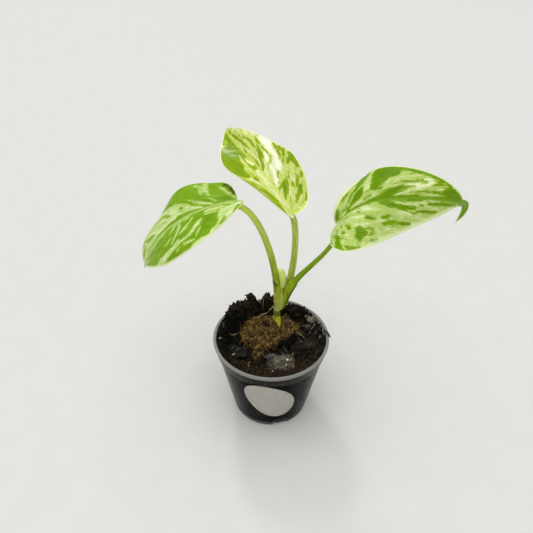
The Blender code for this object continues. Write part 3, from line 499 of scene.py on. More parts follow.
def turnedTip(leaf, station):
    # the drip tip turns over without leaving its way
    distance, point, forward, left, up = station
    part = max(distance - leaf["length"], 0.0) / leaf["tip"][0]
    spin = Matrix.Rotation(math.radians(leaf["tipTwist"] * part), 3, forward)
    return distance, point, forward, spin @ left, spin @ up


def ribStations(leaf):
    azimuth = math.radians(leaf["azimuth"])
    elevation = math.radians(leaf["elevation"])
    flat = Vector((math.cos(azimuth), math.sin(azimuth), 0.0))
    forward = flat * math.cos(elevation) + Vector((0.0, 0.0, math.sin(elevation)))
    left = Vector((-math.sin(azimuth), math.cos(azimuth), 0.0))
    left = Matrix.Rotation(math.radians(leaf["roll"]), 3, forward) @ left
    step = leaf["length"] / bladeMake["ribSteps"]
    behind = -bladeMake["notchBack"] * max(leaf["left"]["lobe"], leaf["right"]["lobe"]) - step
    start = (0.0, Vector(leaf["base"]), forward, left, forward.cross(left))
    back = walkRib(leaf, start, -step, behind)
    ahead = walkRib(leaf, start, step, leaf["length"] + leaf["tip"][0] + step)
    stations = back[::-1] + [start] + [turnedTip(leaf, station) for station in ahead]
    return [np.array([station[i] for station in stations]) for i in range(5)]


def alongRib(stations, places, which):
    # a smooth value between the stations: 1 point, 2 forward, 3 left, 4 up
    distances, values = stations[0], stations[which]
    steps = (places - distances[0]) / (distances[1] - distances[0])
    steps = np.clip(steps, 0.0, len(distances) - 1.001)
    i = steps.astype(int)
    f = (steps - i)[..., None]
    last = len(distances) - 1
    p0, p1 = values[np.maximum(i - 1, 0)], values[i]
    p2, p3 = values[np.minimum(i + 1, last)], values[np.minimum(i + 2, last)]
    bent = 2 * p1 + (p2 - p0) * f + (2 * p0 - 5 * p1 + 4 * p2 - p3) * f**2
    return 0.5 * (bent + (3 * p1 - p0 - 3 * p2 + p3) * f**3)


def halfEdge(leaf, side, rows):
    # a half's margin, along and across the midrib, from the notch to the tip
    half, length = leaf[side], leaf["length"]
    tipLength, tipWidth = leaf["tip"]
    t = np.clip(rows, 0.0, 1.0)[:, None]
    widest = np.array((half["widest"] * length, half["width"]))
    back = np.array((-bladeMake["notchBack"] * half["lobe"], bladeMake["notchOut"] * half["width"]))
    bulge = widest - np.array(((widest[0] + half["lobe"]) * half["lobeRound"], 0.0))
    shoulder = widest + np.array(((length - widest[0]) * half["sideRound"], 0.0))
    reach, slope = half["point"]
    end = np.array((length, tipWidth))
    near = end + length * reach * np.array((-1.0, slope))
    lobe = cubic(np.zeros(2), back, bulge, widest, t * 2.0)
    side = cubic(widest, shoulder, near, end, t * 2.0 - 1.0)
    edge = np.where(t <= 0.5, lobe, side)
    over = np.clip(rows - 1.0, 0.0, 1.0)
    edge[:, 0] += tipLength * over
    edge[:, 1] = np.where(rows > 1.0, tipWidth * (1.0 - over**2.2) ** 0.8, edge[:, 1])
    return edge


def bladeHalf(leaf, stations, side, rows, shares):
    # the upper face of one half: its points, its normals and where each point is on the leaf
    half, length = leaf[side], leaf["length"]
    sign = 1.0 if side == "left" else -1.0
    edge = halfEdge(leaf, side, rows)
    part = np.clip(rows, 0.0, 1.0)[:, None]
    span = bladeMake["lobeSpan"]
    rib = np.clip((part - span) / (1.0 - span), 0.0, 1.0) ** bladeMake["rowPower"] * length
    rib = np.where(rows[:, None] > 1.0, edge[:, :1], rib)
    share = shares[None, :]
    along = rib * (1.0 - share) + edge[:, :1] * share
    out = edge[:, 1:] * share
    place = np.clip(along / length, 0.0, 1.0)
    ear = half["ear"] * np.clip(1.0 - along / length / bladeMake["earSpan"], 0.0, None) ** 2
    fold = np.radians(half["fold"][0] * (1.0 - place) + half["fold"][1] * place + ear)
    curl = math.radians(half["cup"]) / half["width"] * out / 2.0
    chord = out * np.sinc(curl / math.pi)
    height, waves, phase = half["wave"]
    swell = height * np.sqrt(np.clip(np.sin(math.pi * part), 0.0, None))
    wave = swell * share**2 * np.sin(math.tau * (waves * part + phase))
    sideways = sign * chord * np.cos(fold + curl)
    raised = chord * np.sin(fold + curl) + wave
    point, left, up = (alongRib(stations, along, i) for i in (1, 3, 4))
    tilt = (fold + 2.0 * curl) * smoothStep(0.0, 1.5, out)
    upper = point + left * sideways[..., None] + up * raised[..., None]
    normal = up * np.cos(tilt)[..., None] - sign * left * np.sin(tilt)[..., None]
    lean = bladeMake["veinLean"][0] + bladeMake["veinLean"][1] * smoothStep(-6.0, 40.0, along)
    veinPlace = along - lean * out - bladeMake["veinCurve"] * out**2
    fields = {
        "along": along, "out": sign * out, "share": share + 0.0 * out, "edge": edge[:, 1:] + 0.0 * out,
        "veinPlace": veinPlace
    }
    return upper, normal, fields


def makeBlade(name, leaf, paint, material):
    tip = 1.0 + np.linspace(0.0, 1.0, bladeMake["tipRows"] + 1)[1:]
    rows = np.concatenate((np.linspace(0.0, 1.0, bladeMake["rows"]), tip))
    shares = np.linspace(0.0, 1.0, bladeMake["columns"]) ** bladeMake["shareCrowding"]
    stations = ribStations(leaf)
    left = bladeHalf(leaf, stations, "left", rows, shares)
    right = bladeHalf(leaf, stations, "right", rows, shares)
    upper = np.concatenate((right[0][:, :0:-1], left[0]), axis=1)
    normal = np.concatenate((right[1][:, :0:-1], left[1]), axis=1)
    field = {k: np.concatenate((right[2][k][:, :0:-1], left[2][k]), axis=1) for k in left[2]}
    place = np.clip(field["along"] / leaf["length"], 0.0, 1.0)
    across = np.abs(field["out"])
    narrow = np.clip(field["edge"] / bladeMake["fadeWidth"], 0.0, 1.0)
    # the face sinks along the midrib and the side veins
    spacing = bladeMake["veinSpacing"]
    veinGap = (field["veinPlace"] / spacing + 0.5) % 1.0 * spacing - spacing / 2.0
    vein = np.exp(-((veinGap / bladeMake["veinWidth"]) ** 2)) * smoothStep(0.0, 0.12, field["share"])
    vein = vein * smoothStep(1.0, 0.6, field["share"])
    groove = np.exp(-((across / bladeMake["grooveWidth"]) ** 2))
    sink = (bladeMake["grooveDepth"] * groove + bladeMake["veinDepth"] * vein) * narrow
    upper = upper - normal * sink[..., None]
    deep, thin = bladeMake["keelDepth"]
    wide, slim = bladeMake["keelWidth"]
    girth = slim + (wide - slim) * (1.0 - place)
    keel = (thin + (deep - thin) * (1.0 - place) ** 1.3) * np.exp(-((across / girth) ** 2))
    full, least = bladeMake["thickness"], bladeMake["marginThickness"]
    body = least + (full - least) * (1.0 - field["share"] ** 6)
    lower = upper - normal * ((body + keel + bladeMake["veinSwell"] * vein) * narrow)[..., None]
    total = upper.shape[0] * upper.shape[1]
    index = np.arange(total).reshape(upper.shape[:2])
    a, b = index[:-1, :-1].ravel(), index[1:, :-1].ravel()
    c, d = index[1:, 1:].ravel(), index[:-1, 1:].ravel()
    faces = np.concatenate((
        np.stack((a, b, c, d), 1), np.stack((d, c, b, a), 1) + total,
        np.stack((index[:-1, 0] + total, index[1:, 0] + total, index[1:, 0], index[:-1, 0]), 1),
        np.stack((index[:-1, -1], index[1:, -1], index[1:, -1] + total, index[:-1, -1] + total), 1)
    ))
    tone = toneAt(field["along"], field["out"], paint).ravel()
    near, far = bladeMake["fleckLean"]
    lean = near + far * smoothStep(8.0, 50.0, field["along"])
    stretch = np.hypot(1.0, lean)
    fleckWay = np.stack(
        (
            (field["along"] - lean * across) / stretch, across * stretch,
            np.sign(field["out"]) * bladeMake["fleckShift"]
        ),
        -1
    ).reshape(-1, 3)
    margin = (1.0 - field["share"]) * field["edge"]
    beyond = smoothStep(8.0, 16.0, field["along"])
    ended = smoothStep(leaf["length"] - 6.0, leaf["length"], field["along"])
    widths = []
    for foot, further in leaf["paleEdge"]:
        width = foot + (further - foot) * beyond
        widths.append(width * (1.0 - ended) + bladeMake["tipMargin"] * ended)
    margin = (margin / np.where(field["out"] >= 0.0, *widths)).ravel()
    tone = np.where(tone > 0.0, tone * paint["flecked"], tone)
    ribWeight = np.exp(-((across / bladeMake["ribStripe"]) ** 2)).ravel()
    worn = np.zeros(total)
    for alongWorn, outWorn, radius in leaf["worn"]:
        gap = np.hypot(field["along"] - alongWorn, field["out"] - outWorn).ravel()
        worn = np.maximum(worn, smoothStep(1.3 * radius, 0.5 * radius, gap))
    both = {
        "worn": np.tile(worn, 2), "tone": np.tile(tone, 2), "fleck": np.tile(fleckWay, (2, 1)),
        "margin": np.tile(margin, 2), "rib": np.tile(ribWeight, 2),
        "under": np.concatenate((np.zeros(total), 1.0 - ended.ravel()))
    }
    points = np.concatenate((upper.reshape(-1, 3), lower.reshape(-1, 3)))
    blade = newObject(name, meshFrom(name, points, faces.tolist(), both))
    return finished(blade, material, 60.0), stations


leafLooks = {
    "leafLeft": {
        "deep": "#679200", "fresh": "#88b022", "pale": "#acc766", "cream": "#dbe8a8", "rib": "#c9dc84",
        "ribShare": 0.75,
        "creamFrom": 0.15  # the tone above which pale turns to cream
    },
    "leafMiddle": {
        "deep": "#729200", "fresh": "#94b002", "pale": "#ccd870", "cream": "#fcfae2", "rib": "#dbe470",
        "ribShare": 0.5, "creamFrom": 0.42
    },
    "leafRight": {
        "deep": "#608a00", "fresh": "#7ea406", "pale": "#b4cb66", "cream": "#e6efb8", "rib": "#8cae38",
        "ribShare": 0.5, "creamFrom": 0.32
    }
}
leafSkin = {
    # mm across a patch and along it, detail, roughness, distortion, and how far it shifts the tone
    "streaks": (1.1, 7.0, 2.5, 0.6, 0.5, 2.3), "specks": (0.5, 2.2, 1.5, 0.5, 0.4, 1.9),
    "blotches": (2.5, 6.25, 3.0, 0.6, 0.0, 2.4),
    "cellSize": 0.35,  # the skin's fine unevenness, coarser than real so that it shows
    "sheen": 0.05, "coat": 0.15, "underPale": "#a9b98a", "worn": "#5b5420"
}


def waxyLeaf(name, look):
    # Living aroid leaf under a waxy cuticle: satin gloss, crisp marbling that follows the side veins,
    # a paler duller underside, and a little light that comes through the thin blade.
    material, add = newMaterial(name)
    labels = ("tone", "margin", "rib", "under", "worn")
    tone, margin, rib, under, worn = (
        add("Attribute", {"attribute_name": label}).outputs["Fac"] for label in labels
    )
    fleck = add("Attribute", {"attribute_name": "fleck"}).outputs["Vector"]
    patches, shifts = [], []
    for kind in ("streaks", "specks", "blotches"):
        across, along, detail, rough, distortion, reach = leafSkin[kind]
        way = add("Mapping", {"Scale": (1.0 / across, 1.0 / along, 1.0), "Vector": fleck})
        patches.append(add("TexNoise", {
            "Scale": 1.0, "Detail": detail, "Roughness": rough, "Distortion": distortion, "Vector": way
        }))
        shifts.append(add("Math", {"operation": "MULTIPLY_ADD", 0: patches[-1], 1: reach, 2: -reach / 2}))
    _, specks, blotches = patches
    streakShift, speckShift, creamShift = shifts
    shift = add("Math", {"operation": "ADD", 0: streakShift, 1: speckShift})
    marbled = add("Math", {"operation": "ADD", 0: tone, 1: shift})
    isPale = add("MapRange", {"From Min": -0.12, "From Max": 0.12, "Value": marbled})
    creamTone = add("Math", {"operation": "ADD", 0: tone, 1: creamShift})
    creamed = add("Math", {"operation": "MULTIPLY_ADD", 0: speckShift, 1: 0.45, 2: creamTone})
    ends = {"From Min": look["creamFrom"], "From Max": look["creamFrom"] + 0.7}
    isCream = add("MapRange", {**ends, "Value": creamed})
    blotchMap = add("MapRange", {"From Min": 0.35, "From Max": 0.65, "Value": blotches})
    toneMap = add("MapRange", {"From Min": -1.3, "From Max": -0.1, "Value": marbled})
    freshness = add("Math", {"operation": "MULTIPLY_ADD", 0: blotchMap, 1: 0.6, 2: toneMap})
    freshShare = add("MapRange", {"From Min": 0.25, "From Max": 1.35, "Value": freshness})
    ribShare = add("Math", {"operation": "MULTIPLY", 0: rib, 1: look["ribShare"]})
    wornNoise = add("MapRange", {"From Min": 0.34, "From Max": 0.46, "Value": specks})
    wornShare = add("Math", {"operation": "MULTIPLY", 0: worn, 1: wornNoise})
    # the clear horny margin
    marginShare = add("MapRange", {"From Min": 0.75, "From Max": 0.3, "To Max": 0.85, "Value": margin})
    underShare = add("Math", {"operation": "MULTIPLY", 0: under, 1: 0.45})
    pales = add("Mix", {"data_type": "RGBA", 0: isCream, 6: look["pale"], 7: look["cream"]}).outputs[2]
    shown = look["deep"]
    for share, over in (
        (freshShare, look["fresh"]), (isPale, pales), (ribShare, look["rib"]),
        (wornShare, leafSkin["worn"]), (marginShare, look["cream"]), (underShare, leafSkin["underPale"])
    ):
        shown = add("Mix", {"data_type": "RGBA", 0: share, 6: shown, 7: over}).outputs[2]
    place = add("TexCoord").outputs["Object"]
    cells = add(
        "TexNoise", {"Scale": 1.0 / (leafSkin["cellSize"] * mm), "Roughness": 0.6, "Vector": place}
    )
    skin = add("MapRange", {**noiseSpan, "To Min": 0.3, "To Max": 0.42, "Value": cells})
    dull = add("Math", {"operation": "MULTIPLY_ADD", 0: under, 1: 0.22, 2: skin})
    relief = add("Bump", {"Strength": 0.12, "Distance": 0.04 * mm, "Height": cells})
    shader = add("BsdfPrincipled", {
        "IOR": 1.45, "Specular IOR Level": leafSkin["sheen"], "Coat Weight": leafSkin["coat"],
        "Coat Roughness": 0.16, "Coat IOR": 1.45, "Subsurface Weight": 0.3,
        "Subsurface Radius": (0.7, 1.0, 0.25), "Subsurface Scale": 0.35 * mm, "Base Color": shown,
        "Roughness": dull, "Normal": relief
    })
    add("OutputMaterial", {"Surface": shader})
    return material


leafStations = {}
for name, leaf in leaves.items():
    material = waxyLeaf("waxy " + name, leafLooks[name])
    piece, leafStations[name] = makeBlade(name, leaf, variegation[name], material)
    handOver(piece, "leaf_blade", leaf["node"])
print("leaves made")

# The stalks: sweeps along their steering points, thickest at the foot, run on under the blades.
stalkMake = {
    "steps": 44, "sides": 20, "domeSteps": 5, "easing": 6,
    "stalks": {
        "petioleLeft": {
            "node": "petiole_left", "leaf": "leafLeft",
            "points": ((2.8, 10.6, 60.5), (4.1, 6.9, 79.5), (-4.1, 3.5, 118.2), (-16.0, -0.1, 120.9)),
            "radii": (1.7, 1.75, 1.6, 1.5, 1.4, 1.3),
            "under": ((2.5, 0.95, 0.95), (6.0, 0.7, 0.55), (10.0, 0.5, 0.2)), "ridges": 5, "ridge": 0.05,
            "roll": 0.0
        },
        "petioleMiddle": {
            "node": "petiole_middle", "leaf": "leafMiddle",
            "points": ((6.8, 15.4, 60.5), (12.8, 11.6, 81.8), (11.3, 7.2, 113.8), (7.5, 3.3, 114.6)),
            "radii": (1.6, 1.75, 1.5, 1.4, 1.35, 1.3), "under": ((0.4, 1.0, 1.1),), "ridges": 6,
            "ridge": 0.07, "roll": 0.0
        },
        "petioleRight": {
            "node": "petiole_right", "leaf": "leafRight",
            "points": ((6.3, 10.8, 60.5), (9.1, 7.4, 81.6), (27.4, 4.3, 90.6), (30.6, 1.2, 111.9)),
            "radii": (1.75, 2.1, 1.45, 1.2, 1.1, 1.1, 1.15),
            "under": ((3.0, 0.9, 0.9), (7.0, 0.65, 0.5), (11.0, 0.45, 0.2)), "ridges": 5, "ridge": 0.05,
            "roll": 0.0
        },
        "newLeaf": {
            "node": "new_leaf", "leaf": None,
            "points": ((5.6, 13.0, 60.5), (6.4, 12.6, 68.5), (5.4, 12.1, 75.6), (4.3, 11.9, 78.6)),
            "radii": (0.75, 1.5, 2.0, 2.25, 2.2, 1.75), "under": (), "ridges": 2, "ridge": 0.1,
            "roll": 0.16
        }
    }
}


def stalkTree():
    # a path mesh with its girth becomes a closed stalk, ridged along its length
    tree, add, given = newGrower("stalk sweep", (
        ("Sides", "NodeSocketInt", 20), ("Ridges", "NodeSocketInt", 5),
        ("Ridge height", "NodeSocketFloat", 0.05), ("Roll step", "NodeSocketFloat", 0.0),
        ("Material", "NodeSocketMaterial", None)
    ))
    path = add("GeometryNodeMeshToCurve", {"Mesh": given["Geometry"]})
    girth = add("GeometryNodeInputNamedAttribute", {"Name": "girth"})
    way = add("GeometryNodeSplineParameter")
    marked = add("GeometryNodeStoreNamedAttribute", {
        "Name": "along", "Geometry": path, "Value": way.outputs["Length"]
    })
    ring = add("GeometryNodeCurvePrimitiveCircle", {"Radius": 1.0, "Resolution": given["Sides"]})
    turn = add("GeometryNodeSplineParameter")
    ringPlace = add("GeometryNodeInputPosition")
    ringed = add("GeometryNodeStoreNamedAttribute", {
        "data_type": "FLOAT_VECTOR", "Name": "ring", "Geometry": ring, "Value": ringPlace
    })
    angle = add("Math", {"operation": "MULTIPLY", 1: math.tau, 0: turn.outputs["Factor"]})
    beats = add("Math", {"operation": "MULTIPLY", 0: angle, 1: given["Ridges"]})
    swing = add("Math", {"operation": "COSINE", 0: beats})
    raised = add("Math", {"operation": "MULTIPLY", 0: swing, 1: given["Ridge height"]})
    stepped = add("Math", {
        "operation": "MULTIPLY_ADD", 0: turn.outputs["Factor"], 1: given["Roll step"], 2: raised
    })
    offset = add("VectorMath", {"operation": "SCALE", 0: ringPlace, "Scale": stepped})
    shaped = add("GeometryNodeSetPosition", {"Geometry": ringed, "Offset": offset})
    swept = add("GeometryNodeCurveToMesh", {
        "Fill Caps": True, "Curve": marked, "Profile Curve": shaped, "Scale": girth
    })
    plain = add("GeometryNodeRealizeInstances", {"Geometry": swept})
    coated = add("GeometryNodeSetMaterial", {"Geometry": plain, "Material": given["Material"]})
    add("NodeGroupOutput", {"Geometry": coated})
    return tree


def stalkPath(stalk):
    # points and girths from the foot to where the stalk has merged into the midrib
    t = np.linspace(0.0, 1.0, stalkMake["steps"])[:, None]
    points = cubic(*np.array(stalk["points"]), t)
    girths = np.interp(t[:, 0], np.linspace(0.0, 1.0, len(stalk["radii"])), stalk["radii"])
    if stalk["under"]:
        stations = leafStations[stalk["leaf"]]
        for distance, depth, girth in stalk["under"]:
            place = np.array([distance])
            point = alongRib(stations, place, 1)[0] - alongRib(stations, place, 4)[0] * depth
            points = np.vstack((points, point))
            girths = np.append(girths, girth)
    # the added points are spread evenly and rounded off
    lengths = np.append(0.0, np.cumsum(np.linalg.norm(np.diff(points, axis=0), axis=1)))
    even = np.linspace(0.0, lengths[-1], stalkMake["steps"] * 2)
    points = eased(spreadOut(even, lengths, points), stalkMake["easing"])
    girths = eased(np.interp(even, lengths, girths), stalkMake["easing"])
    # a round end
    end, girth, heading = points[-1], girths[-1], unit(points[-1] - points[-2])
    for turn in np.linspace(0.0, math.pi / 2, stalkMake["domeSteps"] + 1)[1:]:
        points = np.vstack((points, end + heading * girth * math.sin(turn)))
        girths = np.append(girths, max(girth * math.cos(turn), 0.02))
    return points, girths


stalkLooks = {
    # paler: how far the upper part turns to the streaks' colour, a painted light where the stalk's arc
    # faces the light from above
    "petioleLeft": {"main": "#8ea412", "streak": "#d2de66", "dark": "#748a06", "paler": 0.95},
    "petioleMiddle": {"main": "#b8c648", "streak": "#dde588", "dark": "#98aa2c", "paler": 0.1},
    "petioleRight": {"main": "#7e9c0a", "streak": "#aac42c", "dark": "#587600", "paler": 0.25},
    "newLeaf": {"main": "#f2fb90", "streak": "#faffb8", "dark": "#dff06c", "paler": 0.0}
}
stalkSkin = {
    "streakWidth": 0.7,  # mm round the stalk
    "streakLength": 9.0,  # mm along it
    "fleckSize": 0.5
}


def freshStalk(name, look):
    # Living leaf stalk, ribbed and lightly waxed: fine lengthwise streaks, satin gloss, faint pale flecks.
    material, add = newMaterial(name)
    ring = add("Attribute", {"attribute_name": "ring"})
    along = add("Attribute", {"attribute_name": "along"})
    scaledRing = add("VectorMath", {
        "operation": "SCALE", "Scale": 1.4 / stalkSkin["streakWidth"], 0: ring.outputs["Vector"]
    })
    flat = add("SeparateXYZ", {0: scaledRing})
    climb = add("Math", {
        "operation": "MULTIPLY", 1: 1000.0 / stalkSkin["streakLength"], 0: along.outputs["Fac"]
    })
    way = add("CombineXYZ", {0: flat.outputs[0], 1: flat.outputs[1], 2: climb})
    streaks = add("TexNoise", {"Scale": 1.0, "Detail": 3.0, "Roughness": 0.55, "Vector": way})
    place = add("TexCoord").outputs["Object"]
    flecks = add(
        "TexNoise", {"Scale": 1.0 / (stalkSkin["fleckSize"] * mm), "Roughness": 0.6, "Vector": place}
    )
    mixed = add("Math", {"operation": "MULTIPLY_ADD", 1: 0.35, 0: flecks, 2: streaks})
    colour = add("ValToRGB", {
        "stops": ((0.42, look["dark"]), (0.64, look["main"]), (0.96, look["streak"])), "Fac": mixed
    })
    # painted light: the stalk turns paler towards its top, as if lit from above
    upper = add("MapRange", {
        "From Min": 22.0 * mm, "From Max": 60.0 * mm, "To Max": look["paler"],
        "Value": along.outputs["Fac"]
    })
    coat = add("Mix", {"data_type": "RGBA", 7: look["streak"], 0: upper, 6: colour})
    rough = add("MapRange", {**noiseSpan, "To Min": 0.32, "To Max": 0.48, "Value": flecks})
    relief = add("Bump", {"Strength": 0.25, "Distance": 0.06 * mm, "Height": streaks})
    shader = add("BsdfPrincipled", {
        "IOR": 1.45, "Specular IOR Level": 0.18, "Subsurface Weight": 0.35,
        "Subsurface Radius": (0.8, 1.0, 0.3), "Subsurface Scale": 1.2 * mm, "Base Color": coat.outputs[2],
        "Roughness": rough, "Normal": relief
    })
    add("OutputMaterial", {"Surface": shader})
    return material


sweepTree = stalkTree()
for name, stalk in stalkMake["stalks"].items():
    points, girths = stalkPath(stalk)
    pathMesh = bpy.data.meshes.new("path")
    pathMesh.from_pydata((points * mm).tolist(), [(i, i + 1) for i in range(len(points) - 1)], [])
    pathMesh.attributes.new("girth", "FLOAT", "POINT").data.foreach_set("value", girths * mm)
    host = newObject("path", pathMesh)
    values = {
        "Sides": stalkMake["sides"], "Ridges": stalk["ridges"], "Ridge height": stalk["ridge"],
        "Roll step": stalk["roll"], "Material": freshStalk("fresh stalk " + name, stalkLooks[name])
    }
    mesh = grow(name, host, sweepTree, values)
    bpy.data.objects.remove(host)
    piece = newObject(name, smoothed(mesh, 50.0))
    handOver(piece, "new_leaf" if name == "newLeaf" else "stalk", stalk["node"])
print("stalks made")

# The foot of the stem: leaf sheaths wrapped round one another, and the short root under them.
stemMake = {
    "voxel": 0.17, "smoothing": 2,
    "blunt": 0.6,  # how far a limb's foot is rounded out, as a share of its radius
    # each limb: points with their radii, in mm
    "limbs": (
        (
            (4.9, 12.3, 58.4, 2.9), (4.9, 12.4, 59.6, 3.4), (5.0, 12.5, 62.0, 3.45),
            (5.2, 12.6, 66.0, 3.1), (5.4, 12.7, 69.0, 2.3)
        ),
        (
            (3.5, 10.9, 57.5, 1.75), (3.0, 10.2, 62.0, 1.8), (2.95, 9.3, 67.0, 1.75),
            (2.8, 8.6, 72.0, 1.55)
        ),
        (
            (5.9, 11.1, 58.2, 2.1), (6.8, 10.5, 62.5, 2.0), (7.6, 9.8, 66.3, 2.2), (9.1, 9.0, 70.6, 2.15),
            (11.0, 8.3, 74.6, 1.85)
        ),
        ((4.6, 10.7, 57.0, 2.0), (4.9, 10.4, 60.0, 2.1), (5.2, 10.2, 64.0, 1.8), (5.2, 10.2, 67.0, 1.2)),
        ((6.9, 15.0, 59.0, 1.9), (7.7, 14.6, 64.0, 1.85), (8.6, 13.8, 69.0, 1.7), (9.1, 13.0, 74.0, 1.5)),
        ((10.0, 9.6, 74.0, 1.3), (10.7, 9.2, 76.4, 0.75), (11.2, 8.8, 78.2, 0.2)),
        (
            (3.3, 11.0, 56.6, 2.0), (3.0, 9.9, 53.4, 1.85), (3.1, 9.1, 51.4, 1.75),
            (3.3, 8.1, 49.8, 1.25), (3.9, 7.1, 48.5, 0.75), (4.5, 6.2, 47.2, 0.42), (5.0, 6.0, 44.5, 0.6)
        ),
        ((2.0, 9.7, 52.4, 0.85), (1.5, 8.9, 51.0, 0.5), (1.7, 8.4, 50.0, 0.2)),
        ((4.2, 8.8, 50.6, 0.8), (4.8, 7.6, 49.6, 0.4), (4.9, 7.0, 48.8, 0.2))
    ),
    # where the right sheath's edge laps over the left one: height and distance to the right, mm
    "seam": ((56.0, 6.1), (62.0, 6.4), (67.1, 6.6), (70.0, 5.4), (72.3, 4.4), (76.0, 3.9)), "lap": 0.2,
    "behind": (13.0, 11.0),  # where the front half begins, mm from the front
    # heights over which each thing comes in, or fades where the first is the higher
    "rootTop": (56.2, 55.4), "lapEdge": (58.0, 64.0), "lapTop": (77.6, 75.6), "shadeTop": (72.5, 64.0),
    "paleFoot": (68.0, 56.5), "paleTip": (76.2, 77.8), "seamFoot": (64.5, 67.0),
    "rootShadowFoot": (51.8, 53.4)
}


def limbMesh(limb, sides=20):
    # a round-ended limb through its points
    spots = np.array(limb)
    steps = np.linspace(0, len(spots) - 1, 8 * (len(spots) - 1) + 1)
    curve = eased(spreadOut(steps, np.arange(len(spots)), spots), 8)
    first, last = curve[0].copy(), curve[-1].copy()
    startWay, endWay = unit((curve[0] - curve[1])[:3]), unit((curve[-1] - curve[-2])[:3])
    for turn in np.linspace(0.3, math.pi / 2, 5):
        lift, shrink = math.sin(turn), max(math.cos(turn), 0.03)
        foot = first[:3] + startWay * first[3] * lift * stemMake["blunt"]
        curve = np.vstack(((*foot, first[3] * shrink), curve))
        curve = np.vstack((curve, (*(last[:3] + endWay * last[3] * lift), last[3] * shrink)))
    rings = tubeRings(curve[:, :3], (0.0, 1.0, 0.02), curve[:, 3], curve[:, 3], sides)
    return rings.reshape(-1, 3), ringFaces(len(curve), sides)


def joinedPoints(parts):
    points, faces, start = [], [], 0
    for vertices, polygons in parts:
        points.append(vertices)
        faces += [[i + start for i in face] for face in polygons]
        start += len(vertices)
    return np.concatenate(points), faces


def outwardMesh(mesh):
    shape = bmesh.new()
    shape.from_mesh(mesh)
    bmesh.ops.recalc_face_normals(shape, faces=shape.faces)
    shape.to_mesh(mesh)
    shape.free()
    return mesh


def voxelled(thing, voxel, smoothing=0):
    # one even skin over everything that overlaps
    remesh = thing.modifiers.new("skin", "REMESH")
    remesh.mode = "VOXEL"
    remesh.voxel_size = voxel * mm
    if smoothing:
        soften = thing.modifiers.new("soften", "SMOOTH")
        soften.factor = 0.5
        soften.iterations = smoothing
    thing.data = evaluatedMesh(thing)
    return thing


def vertexValues(mesh, key):
    flat = np.zeros(len(mesh.vertices) * 3, np.float32)
    mesh.vertices.foreach_get(key, flat)
    return flat.reshape(-1, 3).astype(float)


def pointsOf(mesh):
    return vertexValues(mesh, "co") / mm


def normalsOf(mesh):
    return vertexValues(mesh, "normal")


def movePoints(mesh, points):
    mesh.vertices.foreach_set("co", (points * mm).astype(np.float32).ravel())
    mesh.update()


def pointField(mesh, label, values):
    mesh.attributes.new(label, "FLOAT", "POINT").data.foreach_set("value", np.asarray(values, np.float32))


stemLooks = {
    "sheath": ("#94a21a", "#b3be3e", "#cdd46c"),  # dark, main and light streaks
    # the shaded colour is a painted shade, on the lapped sheath's side turned away from the light
    "lapped": ("#86a00a", "#98b018", "#aec232"), "shaded": "#466200", "blanched": "#b9c062",
    # the last colour is a painted shadow on the root's top, under the sheaths
    "seam": "#8a6a2c", "root": ("#6e7614", "#b4be22", "#dfe150"), "collar": "#3c3a10"
}


def wrappedSheath():
    # Fleshy sheath bases and a young root: whitish green at the foot, lengthwise ribs, moist satin skin.
    material, add = newMaterial("wrapped sheath")
    place = add("TexCoord").outputs["Object"]
    stretched = add("Mapping", {"Scale": (1400.0, 1400.0, 110.0), "Vector": place})
    streaks = add("TexNoise", {"Scale": 1.0, "Detail": 3.0, "Roughness": 0.55, "Vector": stretched})
    flecks = add("TexNoise", {"Scale": 1500.0, "Detail": 3.0, "Vector": place})
    coats = []
    for kind, source in (("sheath", streaks), ("lapped", streaks), ("root", flecks)):
        stops = tuple(zip((0.3, 0.5, 0.72), stemLooks[kind]))
        coats.append(add("ValToRGB", {"stops": stops, "Fac": source}))
    shown = coats[0]
    # laid on in turn: blanching, the lapped sheath, a painted shade on its side away from the light, the
    # seam, the root, and a painted shadow on the root's top under the sheaths
    for label, over in (
        ("blanch", stemLooks["blanched"]), ("lapped", coats[1]), ("shaded", stemLooks["shaded"]),
        ("seam", stemLooks["seam"]), ("root", coats[2]), ("collar", stemLooks["collar"])
    ):
        share = add("Attribute", {"attribute_name": label}).outputs["Fac"]
        shown = add("Mix", {"data_type": "RGBA", 0: share, 6: shown, 7: over}).outputs[2]
    relief = add("Bump", {"Strength": 0.35, "Distance": 0.08 * mm, "Height": streaks})
    shader = add("BsdfPrincipled", {
        "IOR": 1.45, "Specular IOR Level": 0.18, "Roughness": 0.42, "Subsurface Weight": 0.3,
        "Subsurface Radius": (0.8, 1.0, 0.3), "Subsurface Scale": 1.0 * mm, "Base Color": shown,
        "Normal": relief
    })
    add("OutputMaterial", {"Surface": shader})
    return material


